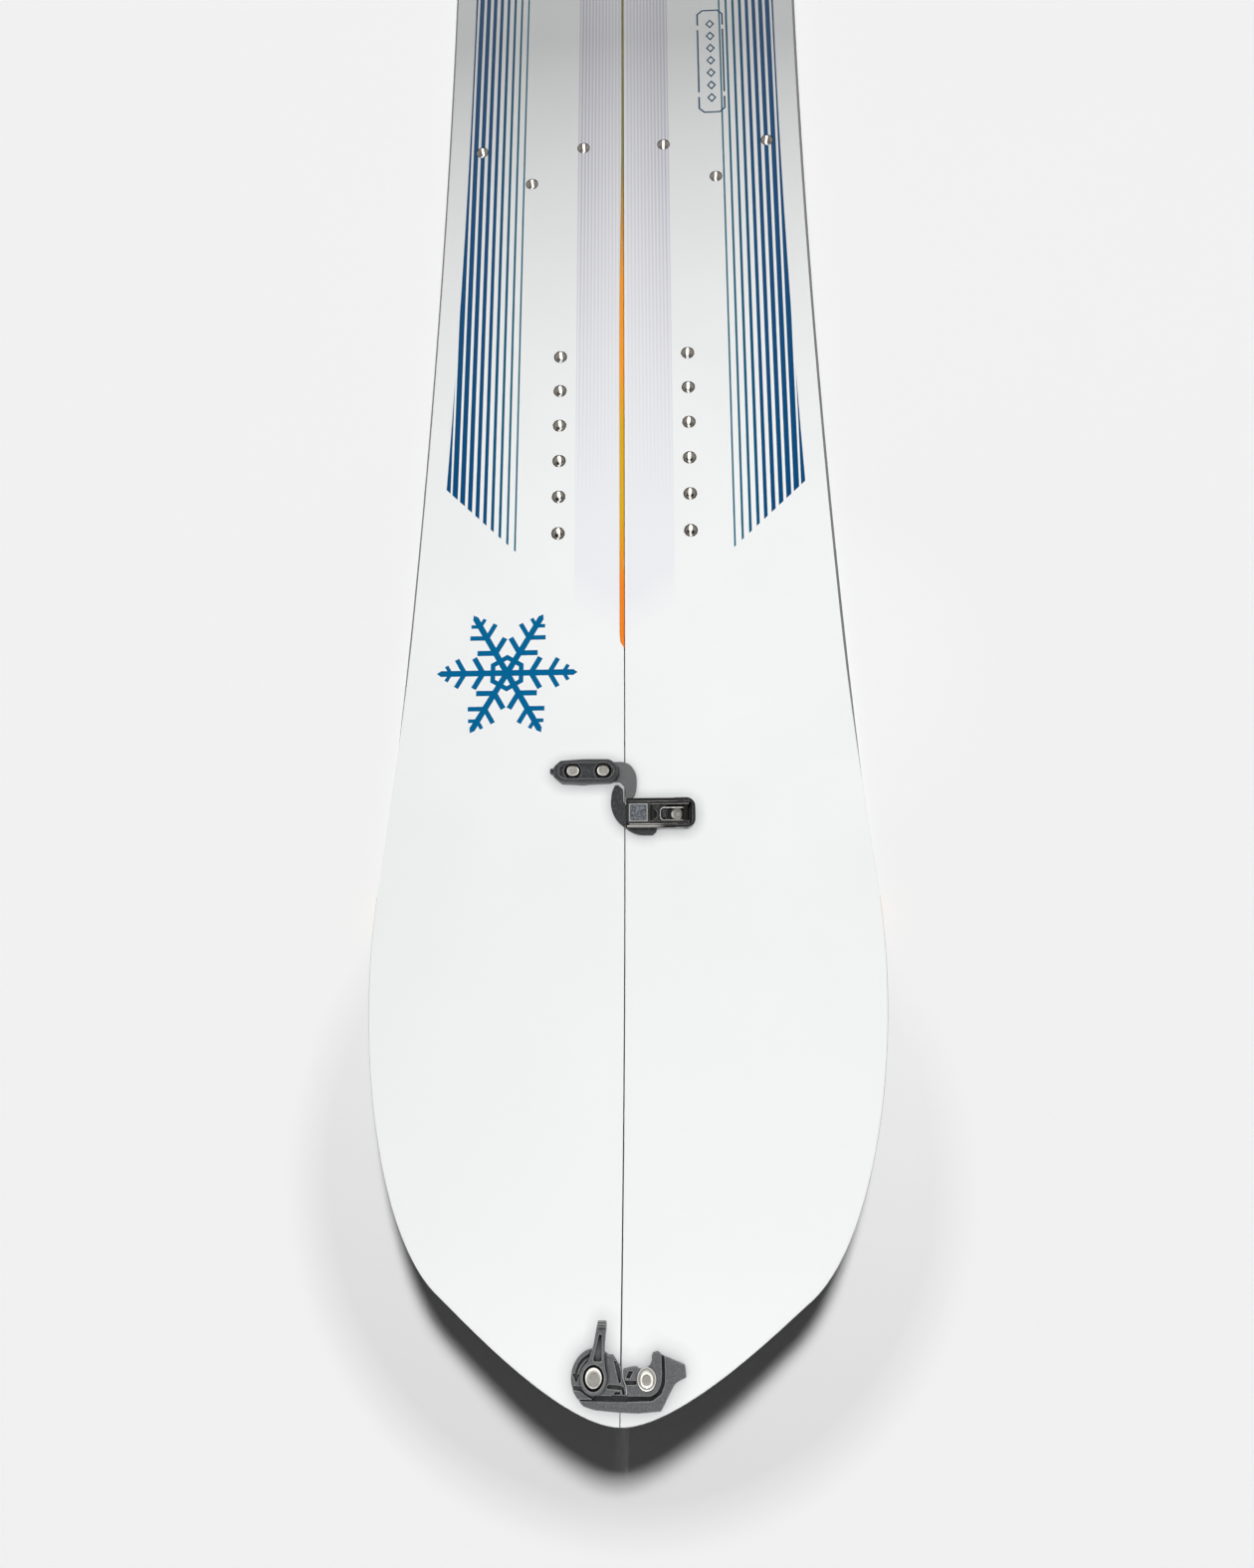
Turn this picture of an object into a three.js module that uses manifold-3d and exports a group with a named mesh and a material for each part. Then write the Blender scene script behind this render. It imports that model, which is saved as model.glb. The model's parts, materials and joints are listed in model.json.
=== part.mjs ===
// A splitboard: a snowboard sawn lengthways into two touring skis, held together by four clips.
// Millimetres. +X is the right-hand ski, +Y points to the tail, +Z is up through the topsheet.
// The origin is on the seam at half length, at the height of the ground under the board.

import * as THREE from 'three';
import { mergeVertices } from 'three/addons/utils/BufferGeometryUtils.js';
import Module from 'manifold-3d';

const wasm = await Module();
wasm.setup();

// ---- driving dimensions --------------------------------------------------------------------

const LENGTH = 1590;
const NOSE_RISE = 62;
const TAIL_RISE = 42;
const CAMBER = 5;
const FRONT_CONTACT = 300; // measured from the nose tip, as every "station" here is
const REAR_CONTACT = 1340;
const CONTACT_HALF_LENGTH = 10; // the dead flat stretch at each contact line
const ROCKER_POWER = 2.2;

const WAIST_HALF_WIDTH = 126.3;
const WAIST_STATION = 830;
const SIDECUT_RADIUS = 8500;
const SIDECUT_START = 240;
const SIDECUT_END = 1400;

const TIP_THICKNESS = 5.6;
const MID_THICKNESS = 8.6;
const BASE_THICKNESS = 1.3;
const SHEET_THICKNESS = 0.8;
const GLUE_GAP = 0.05;
const SEAM_HALF_GAP = 0.2;

const EDGE_WIDTH = 2.2;
const EDGE_START = 225;
const EDGE_END = 1405;
const SIDEWALL_WIDTH = 8;
const SIDEWALL_START = 236;
const SIDEWALL_END = 1395;
const INNER_SIDEWALL_WIDTH = 6;
const INNER_SIDEWALL_START = 389;
const INNER_SIDEWALL_END = 1310;
const SHEET_OUTER_INSET = 1.0; // how far the topsheet stops short of the sidewall's outside
const SHEET_SEAM_INSET = 1.3; // the bevel that shows the inner sidewall along the seam

const INSERT_PITCH = 25.4;
const INSERTS_IN_ROW = 6;
const INSERT_ROW_X = 42.4;
const FRONT_ROW_STATION = 529;
const STANCE = 580;
const INSERT_RADIUS = 4;
const INSERT_BORE = 3;
const FIT_GAP = 0.4;
const INSERT_SIDES = 8;

const CLIP_STATION = 300; // the front centre clip's own origin
const REAR_CLIP_STATION = 1335;
const TIP_CLIP_INSET = 17; // from the nose or tail tip to a tip clip's screws

// Heights above the topsheet inside a centre clip.
const CLIP_LIFT = 0.35;
const LATCH_FLOOR_TOP = 1.45;
const HOOK_PLATE_TOP = 2.35;
const DRAW_HOOK = { armBottom: 2.65, armTop: 5.15, bodyBottom: 1.75, bodyTop: 3.0 };
const LATCH_WALL_TOP = 8.5;
const LEVER = { bottom: 5.6, top: 9.8, padTop: 10.6 };
const LATCH_PIVOT = { x: 36, z: 7.6, pinRadius: 1.5 };
const BAIL = { drop: 3.3, reach: 15, wire: 0.6 };
const LATCH_MIDLINE = -16.35;
const LATCH_SCREWS = [12.5, 31.4];
const HOOK_SCREWS = [-30.7, -12.5];
const HOOK_SCREW_LINE = 9.9;

// Heights above the topsheet inside a tip clip.
const TIP_LIFT = 0.5;
const TIP_PLATE_TOP = 4.5;
const TIP_BAR_LOW = 2.4;
const TIP_LEVER = { bottom: 4.8, top: 7.3, tabTop: 9.2 };
const TIP_SCREW_X = 12;

// ---- solids --------------------------------------------------------------------------------

function solid(geometry) {
  geometry.deleteAttribute('normal');
  geometry.deleteAttribute('uv');
  const merged = mergeVertices(geometry, 1e-4);
  const mesh = new wasm.Mesh({
    numProp: 3,
    vertProperties: new Float32Array(merged.attributes.position.array),
    triVerts: new Uint32Array(merged.index.array),
  });
  return new wasm.Manifold(mesh);
}

function geometryOf(manifold) {
  const mesh = manifold.getMesh();
  const geometry = new THREE.BufferGeometry();
  geometry.setAttribute('position', new THREE.BufferAttribute(mesh.vertProperties, 3));
  geometry.setIndex(new THREE.BufferAttribute(mesh.triVerts, 1));
  return geometry;
}

function extrude(shape, bottom, top, curveSegments = 3) {
  const geometry = new THREE.ExtrudeGeometry(shape, {
    depth: top - bottom,
    bevelEnabled: false,
    curveSegments,
  });
  return solid(geometry.translate(0, 0, bottom));
}

function polygon(points) {
  return new THREE.Shape(points.map(([x, y]) => new THREE.Vector2(x, y)));
}

function block(x0, x1, y0, y1, z0, z1) {
  const geometry = new THREE.BoxGeometry(x1 - x0, y1 - y0, z1 - z0);
  return solid(geometry.translate((x0 + x1) / 2, (y0 + y1) / 2, (z0 + z1) / 2));
}

// An upright cylinder. Its flats, not its corners, are turned to the axes.
function post(x, y, bottom, top, radius, sides = INSERT_SIDES) {
  const geometry = new THREE.CylinderGeometry(radius, radius, top - bottom, sides);
  geometry.rotateX(Math.PI / 2).rotateZ(Math.PI / sides);
  return solid(geometry.translate(x, y, (bottom + top) / 2));
}

// A cylinder that lies along Y.
function crossPin(x, z, y0, y1, radius, sides = 12) {
  const geometry = new THREE.CylinderGeometry(radius, radius, y1 - y0, sides);
  return solid(geometry.translate(x, (y0 + y1) / 2, z));
}

function roundedBar(x0, x1, y0, y1, radius) {
  const shape = new THREE.Shape();
  shape.moveTo(x0 + radius, y0);
  shape.lineTo(x1 - radius, y0);
  shape.absarc(x1 - radius, y0 + radius, radius, -Math.PI / 2, 0);
  shape.lineTo(x1, y1 - radius);
  shape.absarc(x1 - radius, y1 - radius, radius, 0, Math.PI / 2);
  shape.lineTo(x0 + radius, y1);
  shape.absarc(x0 + radius, y1 - radius, radius, Math.PI / 2, Math.PI);
  shape.lineTo(x0, y0 + radius);
  shape.absarc(x0 + radius, y0 + radius, radius, Math.PI, 1.5 * Math.PI);
  return shape;
}

function union(parts) {
  return parts.reduce((whole, part) => whole.add(part));
}

function cut(whole, cutters) {
  return cutters.reduce((rest, cutter) => rest.subtract(cutter), whole);
}

// ---- materials -----------------------------------------------------------------------------

function material(colour, roughness, metalness) {
  return new THREE.MeshStandardMaterial({ color: colour, roughness, metalness });
}

const FINISH = {
  topsheet: () => material(0xf2f3f4, 0.35, 0),
  core: () => material(0xc9a56a, 0.8, 0),
  sidewall: () => material(0x3c4045, 0.55, 0),
  innerSidewall: () => material(0xd67b26, 0.5, 0),
  base: () => material(0x26282b, 0.4, 0),
  steel: () => material(0x8d9094, 0.35, 1),
  screw: () => material(0xd0cec8, 0.25, 1),
  housing: () => material(0x2b2d2f, 0.5, 0),
  hookPlate: () => material(0x55585b, 0.45, 0.8),
  lever: () => material(0x1f2123, 0.3, 0.6),
};

const board = new THREE.Group();

function addPiece(parent, name, manifold, finish) {
  const piece = new THREE.Mesh(geometryOf(manifold), FINISH[finish]());
  piece.name = name;
  parent.add(piece);
}

// ---- the board's plan ----------------------------------------------------------------------

const yOf = (station) => station - LENGTH / 2;
const sidecutHalfWidth = (station) =>
  WAIST_HALF_WIDTH + (station - WAIST_STATION) ** 2 / (2 * SIDECUT_RADIUS);
const sidecutSlope = (station) => (station - WAIST_STATION) / SIDECUT_RADIUS;

// Half width against station, from the nose tip round to the tail tip.
function halfOutline() {
  const vector = (x, station) => new THREE.Vector2(x, station);
  const noseFlank = vector(90, 43.3);
  const startWidth = sidecutHalfWidth(SIDECUT_START);
  const endWidth = sidecutHalfWidth(SIDECUT_END);
  const noseHandle = 92;
  const tailHandle = 88;
  const nose = new THREE.CubicBezierCurve(
    vector(0, 0),
    vector(28.6, 0),
    vector(78.1, 35.7),
    noseFlank,
  );
  const shoulder = new THREE.CubicBezierCurve(
    noseFlank,
    vector(124.8, 65.6),
    vector(startWidth - noseHandle * sidecutSlope(SIDECUT_START), SIDECUT_START - noseHandle),
    vector(startWidth, SIDECUT_START),
  );
  const tail = new THREE.CubicBezierCurve(
    vector(endWidth, SIDECUT_END),
    vector(endWidth + tailHandle * sidecutSlope(SIDECUT_END), SIDECUT_END + tailHandle),
    vector(104, LENGTH),
    vector(0, LENGTH),
  );
  const sidecutSteps = 12;
  const sidecut = [];
  for (let step = 1; step < sidecutSteps; step += 1) {
    const station = THREE.MathUtils.lerp(SIDECUT_START, SIDECUT_END, step / sidecutSteps);
    sidecut.push(vector(sidecutHalfWidth(station), station));
  }
  return [
    ...nose.getPoints(8),
    ...shoulder.getPoints(9).slice(1),
    ...sidecut,
    ...tail.getPoints(12),
  ];
}

const OUTLINE = halfOutline();

function outlineHalfWidth(station) {
  const after = OUTLINE.findIndex((point) => point.y >= station);
  if (after <= 0) {
    return OUTLINE[0].x;
  }
  const [a, b] = [OUTLINE[after - 1], OUTLINE[after]];
  return THREE.MathUtils.mapLinear(station, a.y, b.y, a.x, b.x);
}

const REACH_UP = 200; // tall enough for a plan prism to pass through the whole board

function planPrism(side, points) {
  return extrude(polygon(points.map(([x, station]) => [side * x, yOf(station)])), -20, REACH_UP);
}

function wholePlan(side) {
  const outside = OUTLINE.filter((point) => point.x > 1).map((point) => [point.x, point.y]);
  return planPrism(side, [[SEAM_HALF_GAP, 0], ...outside, [SEAM_HALF_GAP, LENGTH]]);
}

// A band that follows the outside of the board, between two distances in from the outline.
function outerBand(side, start, end, inset, outset) {
  const stations = OUTLINE.map((point) => point.y).filter((s) => s > start && s < end);
  const along = [start, ...stations, end];
  const outer = along.map((s) => [outlineHalfWidth(s) - outset, s]);
  const inner = along.map((s) => [outlineHalfWidth(s) - inset, s]);
  return planPrism(side, [...outer, ...inner.reverse()]);
}

function seamBand(side, start, end, width) {
  const [x0, x1] = [SEAM_HALF_GAP, SEAM_HALF_GAP + width];
  return planPrism(side, [[x0, start], [x1, start], [x1, end], [x0, end]]);
}

// ---- the board's side view -----------------------------------------------------------------

function baseHeight(station) {
  const noseStart = FRONT_CONTACT - CONTACT_HALF_LENGTH;
  const tailStart = REAR_CONTACT + CONTACT_HALF_LENGTH;
  if (station < noseStart) {
    return NOSE_RISE * ((noseStart - station) / noseStart) ** ROCKER_POWER;
  }
  if (station > tailStart) {
    return TAIL_RISE * ((station - tailStart) / (LENGTH - tailStart)) ** ROCKER_POWER;
  }
  const middle = (FRONT_CONTACT + REAR_CONTACT) / 2;
  const half = (REAR_CONTACT - FRONT_CONTACT) / 2 - CONTACT_HALF_LENGTH;
  const u = Math.min(1, Math.abs(station - middle) / half);
  return CAMBER * (1 - u * u) ** 2;
}

function thickness(station) {
  const u = (2 * station) / LENGTH - 1;
  return TIP_THICKNESS + (MID_THICKNESS - TIP_THICKNESS) * (1 - u ** 4);
}

const STATIONS = [
  ...OUTLINE.map((point) => point.y),
  FRONT_CONTACT - CONTACT_HALF_LENGTH,
  FRONT_CONTACT + CONTACT_HALF_LENGTH,
  REAR_CONTACT - CONTACT_HALF_LENGTH,
  REAR_CONTACT + CONTACT_HALF_LENGTH,
].sort((a, b) => a - b).filter((s, index, all) => index === 0 || s - all[index - 1] > 0.3);

const coreBottom = () => BASE_THICKNESS + GLUE_GAP;
const sheetBottom = (station) => thickness(station) - SHEET_THICKNESS;
const coreTop = (station) => sheetBottom(station) - GLUE_GAP;

// The board's height at a station, on the same straight facets that the solids have.
function facetHeight(station, offset) {
  const after = Math.max(1, STATIONS.findIndex((s) => s >= station));
  const [a, b] = [STATIONS[after - 1], STATIONS[after]];
  const heightA = baseHeight(a) + offset(a);
  const heightB = baseHeight(b) + offset(b);
  return THREE.MathUtils.mapLinear(station, a, b, heightA, heightB);
}

const topHeight = (station) => facetHeight(station, thickness);

// A layer of the board: its side view between two offsets above the base, swept across X.
function layer(bottomOffset, topOffset) {
  const halfSpan = 170;
  const overhang = 3;
  const stations = STATIONS.map((s, index) => {
    if (index === 0) {
      return [s, s - overhang];
    }
    return index === STATIONS.length - 1 ? [s, s + overhang] : [s, s];
  });
  const line = (offset) => stations.map(([s, drawn]) => [yOf(drawn), baseHeight(s) + offset(s)]);
  const profile = polygon([...line(bottomOffset), ...line(topOffset).reverse()]);
  const geometry = new THREE.ExtrudeGeometry(profile, { depth: 2 * halfSpan, bevelEnabled: false });
  const toSideView = new THREE.Matrix4().makeBasis(
    new THREE.Vector3(0, 1, 0),
    new THREE.Vector3(0, 0, 1),
    new THREE.Vector3(1, 0, 0),
  );
  return solid(geometry.applyMatrix4(toSideView).translate(-halfSpan, 0, 0));
}

const BASE_LAYER = layer(() => 0, () => BASE_THICKNESS);
const CORE_LAYER = layer(coreBottom, coreTop);
const SHEET_LAYER = layer(sheetBottom, thickness);

// ---- threaded inserts ----------------------------------------------------------------------

const WEB_BOTTOM = BASE_THICKNESS + 0.1;
const WEB_TOP = WEB_BOTTOM + 0.8;
const WEB_LAYER = layer(() => WEB_BOTTOM, () => WEB_TOP);
const POCKET_LAYER = layer(() => 0, () => WEB_TOP + 0.3);
const WEB_HALF_WIDTH = 5;

// One straight strip of web between two inserts, widened by grow on every side.
function strip([xa, sa], [xb, sb], grow) {
  const along = new THREE.Vector2(xb - xa, sb - sa).normalize();
  const across = new THREE.Vector2(-along.y, along.x);
  const reach = WEB_HALF_WIDTH + grow;
  const corner = (x, s, forward, sideways) => [
    x + reach * (forward * along.x + sideways * across.x),
    s + reach * (forward * along.y + sideways * across.y),
  ];
  return [corner(xa, sa, -1, -1), corner(xb, sb, 1, -1), corner(xb, sb, 1, 1), corner(xa, sa, -1, 1)];
}

function insertRow(station) {
  const half = ((INSERTS_IN_ROW - 1) * INSERT_PITCH) / 2;
  const points = [];
  for (let index = 0; index < INSERTS_IN_ROW; index += 1) {
    points.push([INSERT_ROW_X, station - half + index * INSERT_PITCH]);
  }
  return { points, strips: [[points[0], points[INSERTS_IN_ROW - 1]]] };
}

function insertTriangle() {
  const [inner, outer, apex] = [[28.2, 759], [100.5, 759], [64.4, 730.5]];
  return { points: [inner, outer, apex], strips: [[inner, apex], [apex, outer]] };
}

function insertSquare() {
  const [x, station, half] = [64.4, 997.5, INSERT_PITCH / 2];
  const points = [[-1, -1], [1, -1], [1, 1], [-1, 1]].map(([i, j]) => [x + i * half, station + j * half]);
  return { points, strips: [[points[0], points[2]], [points[1], points[3]]] };
}

function insertPair(screwXs, station) {
  const points = screwXs.map((x) => [Math.abs(x), station]);
  return { points, strips: [[points[0], points[1]]] };
}

const hookPair = (station) => insertPair(HOOK_SCREWS, station + HOOK_SCREW_LINE);
const latchPair = (station) => insertPair(LATCH_SCREWS, station + LATCH_MIDLINE);

const INSERTS = {
  front_inserts: insertRow(FRONT_ROW_STATION),
  rear_inserts: insertRow(FRONT_ROW_STATION + STANCE),
  touring_inserts: insertTriangle(),
  heel_inserts: insertSquare(),
};

const CLIP_INSERTS = {
  '-1': {
    front_clip_inserts: hookPair(CLIP_STATION),
    rear_clip_inserts: hookPair(REAR_CLIP_STATION),
  },
  1: {
    front_clip_inserts: latchPair(CLIP_STATION),
    rear_clip_inserts: latchPair(REAR_CLIP_STATION),
  },
};

function webPlan(side, strips, grow) {
  return union(strips.map(([a, b]) => planPrism(side, strip(a, b, grow))));
}

function insertGroup(side, { points, strips }) {
  const barrels = points.map(([x, s]) => {
    const bottom = facetHeight(s, () => WEB_BOTTOM + 0.3);
    return post(side * x, yOf(s), bottom, topHeight(s) - 0.15, INSERT_RADIUS);
  });
  const bores = points.map(([x, s]) => {
    const bottom = facetHeight(s, () => WEB_TOP);
    return post(side * x, yOf(s), bottom, topHeight(s) + 1, INSERT_BORE);
  });
  return cut(union([WEB_LAYER.intersect(webPlan(side, strips, 0)), ...barrels]), bores);
}

function insertHoles(side, points) {
  return points.map(([x, s]) => {
    const bottom = facetHeight(s, () => BASE_THICKNESS - 0.5);
    return post(side * x, yOf(s), bottom, topHeight(s) + 2, INSERT_RADIUS + FIT_GAP);
  });
}

// ---- where the tip clips sit ---------------------------------------------------------------

function slopeAt(station) {
  const step = 4;
  return Math.atan((topHeight(station + step) - topHeight(station - step)) / (2 * step));
}

// A group whose own XY plane is the topsheet at a station, +Y towards the middle of the board.
function tipSeat(station, towardsNose) {
  const seat = new THREE.Group();
  seat.position.set(0, yOf(station), topHeight(station));
  seat.rotation.x = slopeAt(station);
  const turned = new THREE.Group();
  turned.rotation.z = towardsNose ? 0 : Math.PI;
  seat.add(turned);
  seat.updateMatrixWorld(true);
  return { seat, turned };
}

const noseSeat = tipSeat(TIP_CLIP_INSET, true);
const tailSeat = tipSeat(LENGTH - TIP_CLIP_INSET, false);

// The two screw holes of one ski, one near each tip.
function tipScrewHoles(side) {
  return [noseSeat, tailSeat].map(({ turned }) => {
    const localSide = turned.rotation.z === 0 ? side : -side;
    const geometry = new THREE.CylinderGeometry(INSERT_BORE, INSERT_BORE, 9, INSERT_SIDES);
    geometry.rotateX(Math.PI / 2).translate(localSide * TIP_SCREW_X, 0, 1);
    return solid(geometry.applyMatrix4(turned.matrixWorld));
  });
}

// ---- one ski -------------------------------------------------------------------------------

function buildSki(side, name) {
  const groups = { ...INSERTS, ...CLIP_INSERTS[side] };
  const points = Object.values(groups).flatMap((group) => group.points);
  const holes = [...insertHoles(side, points), ...tipScrewHoles(side)];
  const pockets = Object.values(groups).map((group) =>
    POCKET_LAYER.intersect(webPlan(side, group.strips, FIT_GAP)));
  const plan = wholePlan(side);
  const overhang = -5;
  const ends = (start, end) => [start + GLUE_GAP, end - GLUE_GAP];

  const sheet = cut(SHEET_LAYER.intersect(plan), [
    outerBand(side, SIDEWALL_START, SIDEWALL_END, SHEET_OUTER_INSET, overhang),
    seamBand(side, INNER_SIDEWALL_START, INNER_SIDEWALL_END, SHEET_SEAM_INSET),
    ...holes,
  ]);
  addPiece(board, `${name}_topsheet`, sheet, 'topsheet');

  const core = cut(CORE_LAYER.intersect(plan), [
    outerBand(side, SIDEWALL_START, SIDEWALL_END, SIDEWALL_WIDTH + GLUE_GAP, overhang),
    seamBand(side, INNER_SIDEWALL_START, INNER_SIDEWALL_END, INNER_SIDEWALL_WIDTH + GLUE_GAP),
    ...holes,
    ...pockets,
  ]);
  addPiece(board, `${name}_core`, core, 'core');

  const sidewall = outerBand(side, ...ends(SIDEWALL_START, SIDEWALL_END), SIDEWALL_WIDTH, 0);
  addPiece(board, `${name}_outer_sidewall`, CORE_LAYER.intersect(sidewall), 'sidewall');

  const seamWall = seamBand(side, ...ends(INNER_SIDEWALL_START, INNER_SIDEWALL_END), INNER_SIDEWALL_WIDTH);
  addPiece(board, `${name}_inner_sidewall`, CORE_LAYER.intersect(seamWall), 'innerSidewall');

  const base = cut(BASE_LAYER.intersect(plan), [
    outerBand(side, EDGE_START, EDGE_END, EDGE_WIDTH + GLUE_GAP, overhang),
    seamBand(side, EDGE_START, EDGE_END, EDGE_WIDTH + GLUE_GAP),
  ]);
  addPiece(board, `${name}_base`, base, 'base');

  const outerEdge = outerBand(side, ...ends(EDGE_START, EDGE_END), EDGE_WIDTH, 0);
  addPiece(board, `${name}_outer_edge`, BASE_LAYER.intersect(outerEdge), 'steel');

  const innerEdge = seamBand(side, ...ends(EDGE_START, EDGE_END), EDGE_WIDTH);
  addPiece(board, `${name}_inner_edge`, BASE_LAYER.intersect(innerEdge), 'steel');

  for (const [groupName, group] of Object.entries(groups)) {
    addPiece(board, `${name}_${groupName}`, insertGroup(side, group), 'screw');
  }
}

// ---- screws --------------------------------------------------------------------------------

// A low button-head screw: its head rests at seat height and its shank reaches down to tip.
function screw(x, y, { seat, head, radius, shank, tip }) {
  const socket = 1.9;
  const profile = [
    [0, tip], [shank, tip], [shank, seat], [radius, seat], [radius, seat + head * 0.6],
    [radius * 0.72, seat + head], [0, seat + head],
  ].map(([r, z]) => new THREE.Vector2(r, z));
  const sides = 10;
  const body = solid(new THREE.LatheGeometry(profile, sides).rotateX(Math.PI / 2).translate(x, y, 0));
  return body.subtract(post(x, y, seat + head * 0.35, seat + head + 1, socket, 6));
}

// ---- centre clip ---------------------------------------------------------------------------

function hookBlock() {
  const outline = roundedBar(-41.8, -3.5, 1.5, 16.0, 5.5);
  const body = extrude(outline, CLIP_LIFT, 9.5);
  const nub = block(-44.6, -40, HOOK_SCREW_LINE - 1.6, HOOK_SCREW_LINE + 1.6, CLIP_LIFT, 4);
  const trough = extrude(roundedBar(-38.2, -6.6, 4.6, 13.4, 3.6), 7, 12);
  const plateRoom = block(-23, 0, -2, 20, -2, HOOK_PLATE_TOP + 0.3);
  const wells = HOOK_SCREWS.map((x) => post(x, HOOK_SCREW_LINE, 4.3, 12, 4.9, 10));
  const holes = HOOK_SCREWS.map((x) => post(x, HOOK_SCREW_LINE, -2, 12, INSERT_BORE, 10));
  return cut(body.add(nub), [trough, plateRoom, ...wells, ...holes]);
}

// A curved steel arm that reaches over the seam and hooks back towards the latch.
function hookPlate() {
  const shape = new THREE.Shape();
  shape.moveTo(-22.5, 3.2);
  shape.lineTo(-4.6, 3.2);
  shape.quadraticCurveTo(-0.4, 3.0, 0.2, -0.5);
  shape.lineTo(0.6, -6.2);
  shape.quadraticCurveTo(2.6, -7.4, 4.8, -5.8);
  shape.quadraticCurveTo(7.2, -3.6, 7.1, 2.5);
  shape.quadraticCurveTo(7.4, 15.6, -5, 15.6);
  shape.lineTo(-22.5, 15.6);
  const plate = extrude(shape, CLIP_LIFT, HOOK_PLATE_TOP, 5);
  return plate.subtract(post(HOOK_SCREWS[1], HOOK_SCREW_LINE, -2, 12, INSERT_BORE, 10));
}

function latchBase() {
  const [x0, x1, y0, y1] = [0.8, 41.4, -25.2, -7.5];
  const wall = 1.6;
  const outside = new THREE.Shape();
  outside.moveTo(x0, y0);
  outside.lineTo(x1 - 5, y0);
  outside.quadraticCurveTo(x1, y0, x1, y0 + 6);
  outside.lineTo(x1, y1 - 6);
  outside.quadraticCurveTo(x1, y1, x1 - 5, y1);
  outside.lineTo(x0, y1);
  const hollow = block(x0 - 1, x1 - wall, y0 + wall, y1 - wall, LATCH_FLOOR_TOP, 20);
  const hookDoor = block(x0 - 1, 19.8, y0 - 1, y0 + wall + 1, LATCH_FLOOR_TOP, DRAW_HOOK.armTop + 0.35);
  const pinHole = crossPin(LATCH_PIVOT.x, LATCH_PIVOT.z, y0 - 1, y1 + 1, LATCH_PIVOT.pinRadius + 0.16);
  const screwHoles = LATCH_SCREWS.map((x) => post(x, LATCH_MIDLINE, -2, 3, INSERT_BORE, 10));
  const wallTop = LATCH_PIVOT.z + LATCH_PIVOT.pinRadius + 1.4;
  const shoulder = block(x0 - 1, 30, y0 - 1, y1 + 1, LATCH_WALL_TOP, 20);
  return cut(extrude(outside, CLIP_LIFT, wallTop, 4), [hollow, hookDoor, pinHole, shoulder, ...screwHoles]);
}

function latchPin() {
  return crossPin(LATCH_PIVOT.x, LATCH_PIVOT.z, -25.0, -7.7, LATCH_PIVOT.pinRadius);
}

// The sliding hook: a curved arm over the seam, a tongue under the lever and a lug for the bail.
function drawHook() {
  const arm = new THREE.Shape();
  arm.moveTo(-3.6, 1.0);
  arm.lineTo(-0.9, -1.4);
  arm.lineTo(-0.6, -8.5);
  arm.lineTo(1.4, -11.5);
  arm.lineTo(7.9, -11.5);
  arm.lineTo(7.9, -21.2);
  arm.lineTo(19.1, -21.2);
  arm.lineTo(19.1, -25.5);
  arm.lineTo(17.2, -29);
  arm.lineTo(7, -29.1);
  arm.quadraticCurveTo(2.5, -27, -0.9, -23.8);
  arm.quadraticCurveTo(-9.6, -16, -7.9, -5.2);
  arm.quadraticCurveTo(-6.8, -1, -3.6, 1.0);
  const { armBottom, armTop, bodyBottom, bodyTop } = DRAW_HOOK;
  const tongue = block(1.4, 25, -21.5, -11.5, bodyBottom, bodyTop);
  const lug = block(22.2, 24, -18.6, -14.1, bodyBottom, bodyTop + 2.4);
  const slot = block(9.4, 19.4, LATCH_MIDLINE - 3.1, LATCH_MIDLINE + 3.1, 0, 20);
  return cut(union([extrude(arm, armBottom, armTop, 5), tongue, lug]), [slot]);
}

// A forked lever: a thumb pad at its free end and two rails that straddle the bail.
function latchLever() {
  const { x, z, pinRadius } = LATCH_PIVOT;
  const side = new THREE.Shape();
  side.moveTo(1.8, LEVER.bottom);
  side.lineTo(x - 6, LEVER.bottom);
  side.lineTo(x - 1.5, z - BAIL.drop);
  side.absarc(x, z - BAIL.drop, 1.5, Math.PI, 2 * Math.PI);
  side.absarc(x, z, 3, -0.3, Math.PI / 2);
  side.lineTo(2.4, LEVER.top);
  side.lineTo(1.8, LEVER.top - 0.6);
  const rail = (y0) => {
    const geometry = new THREE.ExtrudeGeometry(side, { depth: 2, bevelEnabled: false, curveSegments: 5 });
    return solid(geometry.rotateX(Math.PI / 2).translate(0, y0 + 2, 0));
  };
  const pad = extrude(roundedBar(1.8, 14.6, -23.0, -9.7, 1.6), LEVER.bottom, LEVER.padTop, 2);
  const bridge = block(14, 17.2, -22, -10.5, 7.2, LEVER.top);
  const pinHole = crossPin(x, z, -30, 0, pinRadius + 0.16);
  const bailHole = crossPin(x, z - BAIL.drop, -30, 0, BAIL.wire + 0.1, 8);
  return cut(union([rail(-23.2), rail(-11.5), pad, bridge]), [pinHole, bailHole]);
}

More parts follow.
